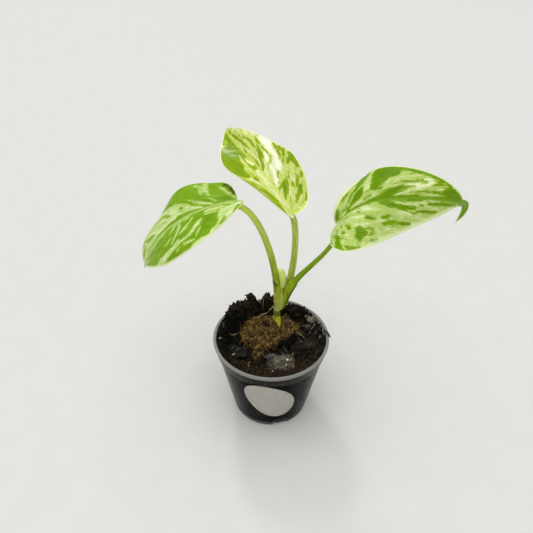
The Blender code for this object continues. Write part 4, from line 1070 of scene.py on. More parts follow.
def makeStem():
    points, faces = joinedPoints([limbMesh(limb) for limb in stemMake["limbs"]])
    mesh = outwardMesh(meshFrom("sheathStem", points, faces))
    stem = voxelled(newObject("sheathStem", mesh), stemMake["voxel"], stemMake["smoothing"])
    spots, ways = pointsOf(stem.data), normalsOf(stem.data)
    high = spots[:, 2]
    risen = {
        key: smoothStep(*stemMake[key], high) for key in ("rootTop", "lapEdge", "lapTop", "shadeTop")
    }
    risen |= {key: smoothStep(*stemMake[key], high) for key in ("paleFoot", "paleTip", "seamFoot")}
    past = spots[:, 0] - np.interp(high, *zip(*stemMake["seam"]))
    front = smoothStep(*stemMake["behind"], spots[:, 1])
    overlap = front * risen["lapTop"]
    lapped = smoothStep(-1.4, 1.0, past) * overlap
    root = risen["rootTop"]
    lumps = 0.3 * roughness3d(spots, 1.5, 3) * root
    edge = smoothStep(-0.05, 0.12, past) * risen["lapEdge"] * overlap
    movePoints(stem.data, spots + ways * (stemMake["lap"] * edge + lumps)[:, None])
    # painted shade on the lapped sheath: its faces turned right and down, away from the light, and its
    # right part below the top are darkened
    turnedAway = smoothStep(-0.05, 0.5, ways @ (1.0, 0.1, -0.5))
    shaded = np.maximum(turnedAway, smoothStep(0.4, 2.4, past) * risen["shadeTop"])
    fields = {
        "blanch": np.maximum(risen["paleFoot"] * (0.85 - 0.6 * lapped), risen["paleTip"]),
        "lapped": lapped, "shaded": 0.9 * shaded * lapped,
        "seam": 0.65 * np.exp(-(((past + 0.1) / 0.34) ** 2)) * risen["seamFoot"] * front, "root": root,
        # painted shadow: the root's top darkened where it runs in under the sheaths
        "collar": 0.8 * root * smoothStep(*stemMake["rootShadowFoot"], high + 0.5 * lumps)
    }
    for label, values in fields.items():
        pointField(stem.data, label, values)
    return finished(stem, wrappedSheath())


handOver(makeStem(), "stalk", "stem")
print("stem made")

# The pot: thin clear plastic, thermoformed, with a frosted rim and notches at the foot.
potMake = {
    "sides": 192, "rimRadius": 30.0, "rimWidth": 1.5, "rimDepth": 1.2, "rimRound": 0.35, "height": 47.6,
    "stepHeight": 41.0, "stepRadius": 28.2, "stepWidth": 0.5, "baseRadius": 20.7, "wall": 0.8,
    "floor": 1.0, "chamfer": 1.0, "notches": 4, "notchTurn": 14.0, "notchWidth": 7.6, "notchHeight": 4.0,
    "notchInner": 18.4, "notchDepth": 5.0
}


def wallRadius(height):
    pot = potMake
    radius = pot["baseRadius"] + (pot["stepRadius"] - pot["baseRadius"]) * height / pot["stepHeight"]
    return radius + (pot["stepWidth"] if height > pot["stepHeight"] else 0.0)


def arcPoints(centre, radius, start, end, count):
    turns = np.radians(np.linspace(start, end, count))
    return [(centre[0] + radius * math.cos(a), centre[1] + radius * math.sin(a)) for a in turns]


def potOutline():
    # the section from the middle of the inner floor, over the rim and down to the middle of the foot
    pot = potMake
    rim, height, soft = pot["rimRadius"], pot["height"], pot["rimRound"]
    step, wall = pot["stepHeight"], pot["wall"]
    inner = [(wallRadius(h) - wall, h) for h in np.linspace(pot["floor"] + 0.6, step, 14)]
    section = [(0.0, pot["floor"])]
    section += arcPoints((wallRadius(1.0) - wall - 0.6, pot["floor"] + 0.6), 0.6, -90, 0, 5)
    section += inner + [(wallRadius(step + 0.5) - wall, step + 0.5)]
    section += [(rim - pot["rimWidth"], height - 2.0)]
    section += arcPoints((rim - pot["rimWidth"] + soft, height - soft), soft, 180, 90, 6)
    section += arcPoints((rim - soft, height - soft), soft, 90, 0, 6)
    section += arcPoints((rim - soft, height - pot["rimDepth"] + soft), soft, 0, -90, 6)
    section += [(wallRadius(height - pot["rimDepth"]), height - pot["rimDepth"])]
    section += [(wallRadius(step + 0.5), step + 0.6), (wallRadius(step + 0.5) - 0.05, step + 0.35)]
    section += [(wallRadius(step) + 0.05, step + 0.12), (wallRadius(step), step)]
    section += [(wallRadius(h), h) for h in np.linspace(step - 1.0, pot["chamfer"] + 0.5, 14)]
    base = pot["baseRadius"]
    section += [(wallRadius(1.0), 1.0), (base - 0.15, 0.35), (base - pot["chamfer"] / 2.0, 0.0)]
    section += [(base - 1.6, 0.0), (base - 2.0, 0.25), (0.0, 0.25)]
    return np.array(section)


def potShell():
    section = potOutline()
    sides = potMake["sides"]
    turns = np.arange(sides) / sides * math.tau
    out, height = section[:, :1], np.repeat(section[:, 1:], sides, axis=1)
    rings = np.stack((out * np.cos(turns), out * np.sin(turns), height), -1)
    faces = ringFaces(len(section), sides, capped=False)
    return newObject("potShell", outwardMesh(meshFrom("potShell", rings.reshape(-1, 3), faces)))


def notchWays():
    # away from the middle and aside, for each notch
    for i in range(potMake["notches"]):
        turn = math.radians(potMake["notchTurn"] - 90.0 + i * 360.0 / potMake["notches"])
        away = np.array((math.cos(turn), math.sin(turn), 0.0))
        yield away, np.array((-away[1], away[0], 0.0))


def notchCutters():
    pot = potMake
    inner, outer = pot["notchInner"], pot["notchInner"] + pot["notchDepth"]
    half, top = pot["notchWidth"] / 2, pot["notchHeight"]
    boxes = []
    for away, aside in notchWays():
        # an arch: straight sides with round shoulders
        arch = [(-half, -1.0), (half, -1.0), *arcPoints((half - 1.0, top - 1.0), 1.0, 0, 90, 5)]
        arch += arcPoints((-half + 1.0, top - 1.0), 1.0, 90, 180, 5)
        count = len(arch)
        ends = [away * far + aside * a + np.array((0, 0, h)) for far in (inner, outer) for a, h in arch]
        faces = [[j, (j + 1) % count, count + (j + 1) % count, count + j] for j in range(count)]
        boxes.append((np.array(ends), faces + [list(range(count)), list(range(count, 2 * count))]))
    points, faces = joinedPoints(boxes)
    return newObject("notchCutters", outwardMesh(meshFrom("notchCutters", points, faces)))


plasticLook = {
    "frosted": "#918f88",
    "clear": "#0d0c0a",  # seen edge on, the sheet bends the dark mix into view
    # heights in mm over which the sheet clouds, and how solid it then looks
    "bands": (
        (45.6, 46.3, 0.85),  # the rim
        (1.3, 0.5, 0.6),  # the foot
        (40.6, 41.1, 0.3),
        (41.7, 42.2, -0.3),  # the step and its upper edge: frosting where the sheet bends, lightened along the step as a painted highlight
        (41.0, 42.4, 0.2),  # above the step
        (1.0, 0.7, 0.5)  # the rounded foot edge: a painted highlight, the frosted colour with no haze added, so it stays clear
    ),
    "cut": 0.8, "edge": 0.92, "milk": (0.02, 0.06)
}


def hazedClearPlastic():
    # Clear polypropylene, thermoformed thin: soft gloss, a faint milky haze that thickens at grazing
    # angles and where the sheet was stretched, frosted and nearly solid along the rolled rim.
    material, add = newMaterial("hazed clear plastic")
    place = add("TexCoord").outputs["Object"]
    parts = add("SeparateXYZ", {0: place}).outputs
    bands = []
    for low, high, share in plasticLook["bands"]:
        ends = {"From Min": low * mm, "From Max": high * mm, "To Max": share}
        bands.append(add("MapRange", {**ends, "Value": parts[2]}))
    rim, foot, step, stepTop, ledge, heelHighlight = bands
    cutMark = add("Attribute", {"attribute_name": "cut"})
    cut = add("Math", {"operation": "MULTIPLY", 0: cutMark.outputs["Fac"], 1: plasticLook["cut"]})
    facing = add("LayerWeight", {"Blend": 0.5}).outputs["Facing"]
    edge = add(
        "MapRange", {"From Min": 0.55, "From Max": 0.85, "To Max": plasticLook["edge"], "Value": facing}
    )
    # the frosted colour, with painted highlights along the step and the rounded foot edge
    frost = rim
    for band in (cut, step, stepTop, ledge, heelHighlight):
        frost = add("Math", {"operation": "ADD", "use_clamp": True, 0: frost, 1: band})
    shades = {6: plasticLook["clear"], 7: plasticLook["frosted"]}
    colour = add("Mix", {"data_type": "RGBA", 0: frost, **shades})
    milkWay = add("Mapping", {"Scale": (120.0, 120.0, 30.0), "Vector": place})
    milk = add("TexNoise", {"Scale": 1.0, "Detail": 4.0, "Roughness": 0.6, "Vector": milkWay})
    least, most = plasticLook["milk"]
    alpha = add("MapRange", {**noiseSpan, "To Min": least, "To Max": most, "Value": milk})
    for band in (rim, foot, step, stepTop, ledge, cut, edge):
        alpha = add("Math", {"operation": "ADD", "use_clamp": True, 0: alpha, 1: band})
    grain = add("TexNoise", {"Scale": 900.0, "Vector": place})
    rough = add("MapRange", {**noiseSpan, "To Min": 0.2, "To Max": 0.34, "Value": milk})
    relief = add("Bump", {"Strength": 0.15, "Distance": 0.05 * mm, "Height": grain})
    shader = add("BsdfPrincipled", {
        "IOR": 1.49, "Specular IOR Level": 0.08, "Base Color": colour.outputs[2], "Alpha": alpha,
        "Roughness": rough, "Normal": relief
    })
    add("OutputMaterial", {"Surface": shader})
    return material


def markCuts(mesh):
    # the sawn faces of the drain notches, which look frosted
    values = []
    for face in mesh.polygons:
        centre = face.center / mm
        away = Vector((centre.x, centre.y, 0.0)).normalized()
        isCut = centre.z < potMake["notchHeight"] + 0.1 and abs(face.normal.dot(away)) < 0.4
        isWall = Vector((centre.x, centre.y)).length > potMake["notchInner"] + 0.6
        values.append(float(isCut and isWall and (abs(face.normal.z) < 0.95 or centre.z > 2.0)))
    mesh.attributes.new("cut", "FLOAT", "FACE").data.foreach_set("value", values)


pot = potShell()
cutters = notchCutters()
cutAway = pot.modifiers.new("notches", "BOOLEAN")
cutAway.operation = "DIFFERENCE"
cutAway.object = cutters
cutAway.solver = "EXACT"
pot.data = evaluatedMesh(pot)
bpy.data.objects.remove(cutters)
markCuts(pot.data)
handOver(finished(pot, hazedClearPlastic(), 30.0), "clear_plastic", "pot")
print("pot made")

# The label: a blank oval of matt paper stuck aslant on the wall.
labelMake = {
    "arc": -0.3, "height": 25.3, "halfWidth": 11.3, "halfHeight": 16.3, "turn": 32.0,
    "sunk": 0.05,  # its underside off the wall
    "thickness": 0.22, "sides": 120, "rings": 14
}


def makeLabel():
    make = labelMake
    turn = math.radians(make["turn"])
    slope = math.atan((potMake["stepRadius"] - potMake["baseRadius"]) / potMake["stepHeight"])
    shares = np.append(np.linspace(0.0, 1.0, make["rings"])[1:-1] ** 0.9, (0.985, 1.0))
    turns = np.arange(make["sides"]) / make["sides"] * math.tau
    rings = []
    lifts = [(s, 1.0 if s < 0.99 else 0.6) for s in shares] + [(1.0, 0.0)]
    for share, lift in lifts:
        across = make["halfWidth"] * share * np.cos(turns)
        along = make["halfHeight"] * share * np.sin(turns)
        arc = make["arc"] + across * math.cos(turn) - along * math.sin(turn)
        rise = across * math.sin(turn) + along * math.cos(turn)
        height = make["height"] + rise * math.cos(slope)
        bearing = arc / wallRadius(make["height"])
        cockle = 0.05 * np.sin(bearing * 9.0 + height * 0.21) * share**2  # paper that was once damp
        wall = np.array([wallRadius(h) for h in height])
        out = wall + make["sunk"] + (make["thickness"] + cockle) * lift
        rings.append(np.stack((out * np.sin(bearing), -out * np.cos(bearing), height), -1))
    rings = np.array(rings)
    mesh = outwardMesh(meshFrom("labelOval", rings.reshape(-1, 3), ringFaces(*rings.shape[:2])))
    return finished(newObject("labelOval", mesh), labelPaper(), 35.0)


def labelPaper():
    # Coated sticker paper, printed blank: near white, faint fibre mottle, low sheen.
    material, add = newMaterial("label paper")
    place = add("TexCoord").outputs["Object"]
    mottle = add("TexNoise", {"Scale": 260.0, "Detail": 5.0, "Roughness": 0.65, "Vector": place})
    fibres = add("TexNoise", {"Scale": 3500.0, "Detail": 3.0, "Vector": place})
    colour = add("ValToRGB", {"stops": ((0.3, "#a8a49a"), (0.7, "#b8b4aa")), "Fac": mottle})
    relief = add("Bump", {"Strength": 0.2, "Distance": 0.03 * mm, "Height": fibres})
    shader = add(
        "BsdfPrincipled", {"IOR": 1.5, "Roughness": 0.55, "Base Color": colour, "Normal": relief}
    )
    add("OutputMaterial", {"Surface": shader})
    return material


handOver(makeLabel(), "label_paper", "label")
print("label made")

# The potting mix and the root plug: the frame's own forms, roughened, then strewn with crumbs and fibre.
mixMake = {
    "voxel": 0.6, "plugVoxel": 0.4,
    "topLevel": 38.0,  # above this the surface is open to the air
    "coarse": (3.4, 1.0),  # size and height of the lumps, mm
    "fine": (1.1, 0.45), "plugCoarse": (3.0, 1.0), "plugFine": (1.0, 0.35),
    "bank": 4.8,  # how much higher the mix stands along the wall
    "bankFrom": (20.5, 26.5),  # from the middle
    "bankFoot": (36.0, 41.0), "bankTop": (48.5, 42.0),
    "lowBearing": 34.0,  # where it stands a little lower
    "heapFrom": (50.0, 53.0),
    "heapRough": 0.5,  # the heap is that much rougher
    "sagDeep": (0.45, 0.75),  # outwards and down, in the drain notches
    # hollows pressed into the open surface: right, back, radius, depth
    "mixHollows": ((-6.6, 25.6, 2.6, 5.0), (-7.0, 22.4, 2.0, 3.0)),
    "plugHollows": (
        (13.0, -2.6, 3.4, 4.4), (8.0, -7.2, 3.6, 4.2), (2.4, -10.2, 2.8, 4.0), (-0.8, -13.4, 2.2, 3.6),
        (-3.0, 7.8, 0.5, 1.2)
    ),
    "hollowFrom": (43.0, 47.0),
    "bareRing": 1.6,  # how far round a hollow no fibre starts
    "crumbDensity": 1.7e6,  # per square metre
    "fibreDensity": 2.6e6
}


def mergedCopy(name, nodeNames):
    shape = bmesh.new()
    for nodeName in nodeNames:
        shape.from_mesh(cadNodes[nodeName].data)
    bmesh.ops.remove_doubles(shape, verts=shape.verts, dist=0.003 * mm)
    mesh = bpy.data.meshes.new(name)
    shape.to_mesh(mesh)
    shape.free()
    return newObject(name, mesh)


def roughened(thing, passes, seed, topLevel, wallPress=0.12):
    # lumps in the open surface, only faint pits where it is pressed against the plastic
    mesh = thing.data
    spots, ways = pointsOf(mesh), normalsOf(mesh)
    openShare = smoothStep(topLevel - 1.5, topLevel + 1.5, spots[:, 2])
    heap = smoothStep(*mixMake["heapFrom"], spots[:, 2])
    push = np.zeros(len(spots))
    for i, (size, height) in enumerate(passes):
        rough = roughness3d(spots, size, seed + i)
        lumps = height * rough * openShare * (1.0 + mixMake["heapRough"] * heap)
        push += lumps - wallPress * np.abs(rough) * (1.0 - openShare)
    movePoints(mesh, spots + ways * push[:, None])
    return thing


def bankedUp(thing):
    # pushed up along the wall, least at the back right
    mesh = thing.data
    spots = pointsOf(mesh)
    far = np.hypot(spots[:, 0], spots[:, 1])
    bearing = np.degrees(np.arctan2(spots[:, 1], spots[:, 0]))
    low = smoothStep(22.0, 10.0, np.abs(bearing - mixMake["lowBearing"]))
    rise = mixMake["bank"] * smoothStep(*mixMake["bankFrom"], far) * (1.0 - 0.15 * low)
    for heights in (mixMake["bankFoot"], mixMake["bankTop"]):
        rise = rise * smoothStep(*heights, spots[:, 2])
    slope = (potMake["stepRadius"] - potMake["baseRadius"]) / potMake["stepHeight"]
    spots[:, :2] *= (1.0 + rise * slope / np.maximum(far, 1.0))[:, None]
    spots[:, 2] += rise
    movePoints(mesh, spots)
    return thing


def hollowed(thing, hollows):
    # loose spots pressed down from above, where no fibre lies
    mesh = thing.data
    spots = pointsOf(mesh)
    bare = np.zeros(len(spots))
    for right, back, radius, depth in hollows:
        gap = np.hypot(spots[:, 0] - right, spots[:, 1] - back)
        within = smoothStep(radius * 1.2, radius * 0.5, gap)
        edge = radius + mixMake["bareRing"]
        bare = np.maximum(bare, smoothStep(edge + 0.8, edge - 1.0, gap))
        spots[:, 2] -= depth * within * smoothStep(*mixMake["hollowFrom"], spots[:, 2])
    movePoints(mesh, spots)
    # the coir is painted near black as shade where this share is high
    pointField(mesh, "bare", bare)
    return thing


def settledOut(thing):
    # the mix has sagged into the drain notches
    mesh = thing.data
    spots = pointsOf(mesh)
    far = np.hypot(spots[:, 0], spots[:, 1])
    outwards, down = mixMake["sagDeep"]
    for away, aside in notchWays():
        inside = smoothStep(3.7, 3.3, np.abs(spots @ aside)) * (spots @ away > 0.0)
        inside = inside * smoothStep(18.3, 18.8, far) * smoothStep(3.9, 3.3, spots[:, 2])
        sunk = inside * smoothStep(2.2, 1.2, spots[:, 2])
        spots[:, :2] *= (1.0 + outwards * inside / np.maximum(far, 1.0))[:, None]
        spots[:, 2] -= down * sunk
    movePoints(mesh, spots)
    return thing


# where the peat is drier (plus) or wetter, the heap's top lighter partly as drier peat and partly as
# painted light: axis, from and to in mm, and by how much
peatDrynessAndLight = (
    (1, -9.0, -17.0, 0.22), (2, 42.0, 44.5, 1.0), (2, 49.0, 54.0, 0.3), (0, -14.0, -20.0, -0.24)
)


def peatMix():
    # Peat and composted bark, moist: near black brown, matt, each crumb its own shade.
    material, add = newMaterial("peat mix")
    place = add("TexCoord").outputs["Object"]
    shade = add("TexNoise", {"Scale": 420.0, "Detail": 5.0, "Roughness": 0.7, "Vector": place})
    grain = add("TexNoise", {"Scale": 2600.0, "Detail": 4.0, "Roughness": 0.7, "Vector": place})
    tone = add("Attribute", {"attribute_name": "tone"})
    mixed = add("Math", {"operation": "MULTIPLY_ADD", 1: 0.5, 0: grain, 2: shade})
    shifted = add("Math", {"operation": "MULTIPLY_ADD", 1: 0.3, 0: tone.outputs["Fac"], 2: mixed})
    # drier and browner along the front, browner up the heap's top, partly as drier peat and partly as
    # painted light on its tops, wetter down the left side
    parts = add("SeparateXYZ", {0: place}).outputs
    shares = []
    for axis, start, end, most in peatDrynessAndLight:
        ends = {"From Min": start * mm, "From Max": end * mm, "To Max": most}
        shares.append(add("MapRange", {**ends, "Value": parts[axis]}))
    atFront, atTop, heapTopDryAndLit, onLeft = shares
    frontTop = add("Math", {"operation": "MULTIPLY", 0: atFront, 1: atTop})
    dry = add("Math", {"operation": "MAXIMUM", 0: frontTop, 1: heapTopDryAndLit})
    tintedByPlace = add("Math", {"operation": "ADD", 0: dry, 1: onLeft})
    driedWettedAndLit = add("Math", {"operation": "ADD", 0: shifted, 1: tintedByPlace})
    colour = add(
        "ValToRGB", {"stops": ((0.6, "#040302"), (0.85, "#110d05"), (1.0, "#2f2414")), "Fac": driedWettedAndLit}
    )
    rough = add("MapRange", {**noiseSpan, "To Min": 0.95, "To Max": 0.62, "Value": grain})
    relief = add("Bump", {"Strength": 0.6, "Distance": 0.25 * mm, "Height": grain})
    shader = add("BsdfPrincipled", {
        "IOR": 1.45, "Specular IOR Level": 0.2, "Base Color": colour, "Roughness": rough, "Normal": relief
    })
    add("OutputMaterial", {"Surface": shader})
    return material


def coirMat(name, dark, mid, light):
    # Coconut coir, wet-pressed: dull brown mat with ochre strands, no gloss.
    material, add = newMaterial(name)
    place = add("TexCoord").outputs["Object"]
    tone = add("Attribute", {"attribute_name": "tone"})
    shade = add("TexNoise", {"Scale": 500.0, "Detail": 5.0, "Roughness": 0.7, "Vector": place})
    shifted = add("Math", {"operation": "MULTIPLY_ADD", 1: 0.45, 0: tone.outputs["Fac"], 2: shade})
    colour = add("ValToRGB", {"stops": ((0.4, dark), (0.65, mid), (0.95, light)), "Fac": shifted})
    # painted shade: almost black down in the hollows, where no fibre lies
    bare = add("Attribute", {"attribute_name": "bare"})
    hollowShadeShare = add("Math", {"operation": "MULTIPLY", 1: 0.9, 0: bare.outputs["Fac"]})
    tintedByPlace = add("Mix", {"data_type": "RGBA", 7: "#060504", 0: hollowShadeShare, 6: colour})
    relief = add("Bump", {"Strength": 0.6, "Distance": 0.2 * mm, "Height": shade})
    shader = add("BsdfPrincipled", {
        "IOR": 1.45, "Roughness": 0.85, "Specular IOR Level": 0.2, "Base Color": tintedByPlace.outputs[2],
        "Normal": relief
    })
    add("OutputMaterial", {"Surface": shader})
    return material


def scatterTree(name, lieFlat):
    # bits strewn over the open faces of a host: any way up, or lying along the surface
    tree, add, given = newGrower(name, (
        ("Bits", "NodeSocketCollection", None), ("Density", "NodeSocketFloat", 1e6),
        ("Smallest", "NodeSocketFloat", 0.5), ("Largest", "NodeSocketFloat", 1.0),
        ("Lowest", "NodeSocketFloat", 0.038), ("Reach", "NodeSocketFloat", 0.027),
        ("Seed", "NodeSocketInt", 1), ("Material", "NodeSocketMaterial", None)
    ))
    place = add("GeometryNodeInputPosition")
    parts = add("SeparateXYZ", {0: place}).outputs
    normal = add("GeometryNodeInputNormal")
    slope = add("SeparateXYZ", {0: normal})
    flat = add("CombineXYZ", {0: parts[0], 1: parts[1]})
    far = add("VectorMath", {"operation": "LENGTH", 0: flat}).outputs["Value"]
    bare = add("GeometryNodeInputNamedAttribute", {"Name": "bare"})
    chosen = 1.0
    for test, value, limit in (
        ("GREATER_THAN", parts[2], given["Lowest"]), ("GREATER_THAN", slope.outputs[2], 0.2),
        ("LESS_THAN", bare, 0.35), ("LESS_THAN", far, given["Reach"])
    ):
        passed = add("Math", {"operation": test, 0: value, 1: limit})
        chosen = add("Math", {"operation": "MULTIPLY", 0: chosen, 1: passed})
    spread = add("GeometryNodeDistributePointsOnFaces", {
        "Mesh": given["Geometry"], "Selection": chosen, "Density": given["Density"], "Seed": given["Seed"]
    })
    bits = add("GeometryNodeCollectionInfo", {
        "Separate Children": True, "Reset Children": True, "Collection": given["Bits"]
    })
    size = add(
        "FunctionNodeRandomValue", {2: given["Smallest"], 3: given["Largest"], "Seed": given["Seed"]}
    )
    least, most = ((0.0, 0.0, 0.0), (math.tau, math.tau, math.tau))
    if lieFlat:
        least, most = ((-0.3, -0.3, 0.0), (0.3, 0.3, math.tau))
    spin = {"data_type": "FLOAT_VECTOR", 0: least, 1: most, "Seed": given["Seed"]}
    turned = add("FunctionNodeRandomValue", spin)
    if lieFlat:
        local = {"rotation_space": "LOCAL", 0: spread.outputs["Rotation"], 1: turned}
        turned = add("FunctionNodeRotateRotation", local)
    strewn = add("GeometryNodeInstanceOnPoints", {
        "Pick Instance": True, "Points": spread, "Instance": bits, "Rotation": turned,
        "Scale": size.outputs[1]
    })
    shade = add("FunctionNodeRandomValue", {2: -1.0, 3: 1.0, "Seed": given["Seed"]})
    toned = add("GeometryNodeStoreNamedAttribute", {
        "domain": "INSTANCE", "Name": "tone", "Geometry": strewn, "Value": shade.outputs[1]
    })
    plain = add("GeometryNodeRealizeInstances", {"Geometry": toned})
    coated = add("GeometryNodeSetMaterial", {"Geometry": plain, "Material": given["Material"]})
    add("NodeGroupOutput", {"Geometry": coated})
    return tree


def crumbShape(rng, stretch, subdivisions=1):
    # an angular crumb about 1 mm across
    shape = bmesh.new()
    bmesh.ops.create_icosphere(shape, subdivisions=subdivisions, radius=0.5 * mm)
    for vertex in shape.verts:
        dent = 1.0 + 0.3 * rng.uniform(-1.0, 1.0)
        vertex.co = Vector([a * b * dent for a, b in zip(vertex.co, stretch)])
    mesh = bpy.data.meshes.new("crumb")
    shape.to_mesh(mesh)
    shape.free()
    return mesh


def strandShape(rng, length, girth, curl, bends=9, sides=3):
    # a curly strand lying about flat, a few mm long
    heading, way = rng.uniform(0.0, math.tau), [np.zeros(3)]
    turn = curl * rng.uniform(-1.0, 1.0)
    for i in range(bends):
        turn += curl * 0.7 * rng.uniform(-1.0, 1.0)
        heading += turn / bends * 2.0
        rise = 0.35 * math.sin(math.pi * (i + 0.5) / bends) * rng.uniform(-0.3, 1.0)
        way.append(way[-1] + np.array((math.cos(heading), math.sin(heading), rise)) * length / bends)
    way = np.array(way) - np.mean(way, axis=0)
    girths = girth * (0.35 + 0.65 * np.sin(np.linspace(0.15, math.pi - 0.15, len(way)))) / 2.0
    rings = tubeRings(way, (0.0, 0.0, 1.0), girths, girths, sides)
    faces = ringFaces(len(way), sides)
    return outwardMesh(meshFrom("strand", rings.reshape(-1, 3), faces, merge=0.0005))


def bitCollection(name, meshes):
    group = bpy.data.collections.new(name)
    bpy.context.scene.collection.children.link(group)
    for i, mesh in enumerate(meshes):
        group.objects.link(bpy.data.objects.new(f"{name}{i}", mesh))
    return group


def strew(name, host, tree, meshes, values):
    for bit in meshes:
        bit.materials.clear()
        bit.materials.append(values["Material"])
    group = bitCollection(name + "Bits", meshes)
    mesh = grow(name, host, tree, {"Bits": group, **values})
    for thing in list(group.objects):
        bpy.data.objects.remove(thing)
    bpy.data.collections.remove(group)
    return newObject(name, mesh)


rng = np.random.default_rng(50)
peat = peatMix()
mixBody = bankedUp(voxelled(mergedCopy("mixBody", ["potting_mix"]), mixMake["voxel"]))
roughened(mixBody, (mixMake["coarse"], mixMake["fine"]), 1, mixMake["topLevel"])
settledOut(hollowed(mixBody, mixMake["mixHollows"]))
plugBody = voxelled(mergedCopy("plugBody", ["root_plug"]), mixMake["plugVoxel"])
roughened(plugBody, (mixMake["plugCoarse"], mixMake["plugFine"]), 8, 30.0)
hollowed(plugBody, mixMake["plugHollows"])
print("mix and plug skinned")

crumbTree = scatterTree("crumbs any way up", False)
strandTree = scatterTree("strands lying flat", True)
chunks = [crumbShape(rng, (1.0, rng.uniform(0.6, 1.0), rng.uniform(0.5, 0.9)), 2) for _ in range(5)]
shreds = [
    crumbShape(rng, (rng.uniform(1.8, 3.4), rng.uniform(0.5, 0.9), rng.uniform(0.3, 0.5)))
    for _ in range(6)
]
grains = [crumbShape(rng, (1.0, rng.uniform(0.7, 1.0), rng.uniform(0.6, 0.9))) for _ in range(5)]
mixCrumbs = strew("mixCrumbs", mixBody, crumbTree, chunks[:2] + shreds + grains, {
    "Density": mixMake["crumbDensity"], "Smallest": 0.5, "Largest": 2.0, "Lowest": 40.5 * mm,
    "Reach": 26.4 * mm, "Seed": 4, "Material": peat
})
plugFibres = strew(
    "plugFibres", plugBody, strandTree,
    [strandShape(rng, rng.uniform(4.6, 8.6), 0.12, 3.8, bends=11) for _ in range(12)],
    {
        "Density": mixMake["fibreDensity"], "Smallest": 0.5, "Largest": 1.1, "Lowest": 40.0 * mm,
        "Reach": 30.0 * mm, "Seed": 9,
        "Material": coirMat("coir strands", "#22170a", "#6a4c22", "#d2ae64")
    }
)
handOver(finished(mixBody, peat), "potting_mix", "potting_mix")
handOver(mixCrumbs, "potting_mix")
matted = coirMat("coir mat", "#120c05", "#40301a", "#6f572c")
handOver(finished(plugBody, matted), "coir_plug", "root_plug")
handOver(plugFibres, "coir_plug")
print("crumbs and fibres strewn")

# The bark chips: the frame's chips, split in layers along their grain.
chipMake = {
    "voxel": 0.28,
    "layerPitch": 0.9,  # mm between the split layers
    "layerDepth": 0.5, "roughDepth": 0.45,
    "chips": {
        "chipFront": ("bark_chip_front", -8.0, ("#37332a", "#5e584a", "#857c6b")),
        "chipLong": ("bark_chip_long", 24.0, ("#0b0a07", "#221d14", "#3f3625")),
        "chipRight": ("bark_chip_right", 40.0, ("#17130f", "#41352c", "#6e5e52")),
        "chipLeft": ("bark_chip_left", -38.0, ("#0a0907", "#211c15", "#40372a"))
    }
}


def layeredBark(name, turn, colours):
    # Composted pine bark: corky plates split along the grain, dull, darker in the cracks.
    material, add = newMaterial(name)
    place = add("TexCoord").outputs["Object"]
    turned = add("Mapping", {"Rotation": (0.0, 0.0, math.radians(-turn)), "Vector": place})
    grainWay = add("Mapping", {"Scale": (160.0, 900.0, 900.0), "Vector": turned})
    grain = add("TexNoise", {
        "Scale": 1.0, "Detail": 5.0, "Roughness": 0.65, "Distortion": 0.3, "Vector": grainWay
    })
    patches = add("TexNoise", {"Scale": 320.0, "Detail": 4.0, "Vector": place})
    mixed = add("Math", {"operation": "MULTIPLY_ADD", 1: 0.5, 0: patches, 2: grain})
    stops = tuple(zip((0.62, 0.78, 0.94), colours))
    colour = add("ValToRGB", {"stops": stops, "Fac": mixed})
    relief = add("Bump", {"Strength": 0.9, "Distance": 0.35 * mm, "Height": grain})
    shader = add("BsdfPrincipled", {
        "IOR": 1.45, "Roughness": 0.85, "Specular IOR Level": 0.25, "Base Color": colour, "Normal": relief
    })
    add("OutputMaterial", {"Surface": shader})
    return material


def makeChip(name, nodeName, turn, colours, seed):
    piece = voxelled(mergedCopy(name, [nodeName]), chipMake["voxel"], 1)
    spots, ways = pointsOf(piece.data), normalsOf(piece.data)
    heading = math.radians(turn)
    lengthways = spots[:, 0] * math.cos(heading) + spots[:, 1] * math.sin(heading)
    sideways = -spots[:, 0] * math.sin(heading) + spots[:, 1] * math.cos(heading)
    grainSpots = np.stack((lengthways * 0.2, sideways, spots[:, 2] * 1.4), 1)
    wander = roughness3d(grainSpots, 2.0, seed)
    layers = (sideways * 0.8 + spots[:, 2] * 0.6) / chipMake["layerPitch"] + 1.6 * wander
    steps = np.abs(layers % 1.0 - 0.5) * 2.0
    push = chipMake["layerDepth"] * (smoothStep(0.1, 0.8, steps) - 0.7) * (0.5 + np.abs(wander))
    push += chipMake["roughDepth"] * roughness3d(spots, 1.7, seed + 10)
    movePoints(piece.data, spots + ways * push[:, None])
    finished(piece, layeredBark("layered bark " + name, turn, colours))
    return handOver(piece, "pine_bark", nodeName)


chips = [makeChip(name, *chip, 20 + i) for i, (name, chip) in enumerate(chipMake["chips"].items())]
print("bark made")
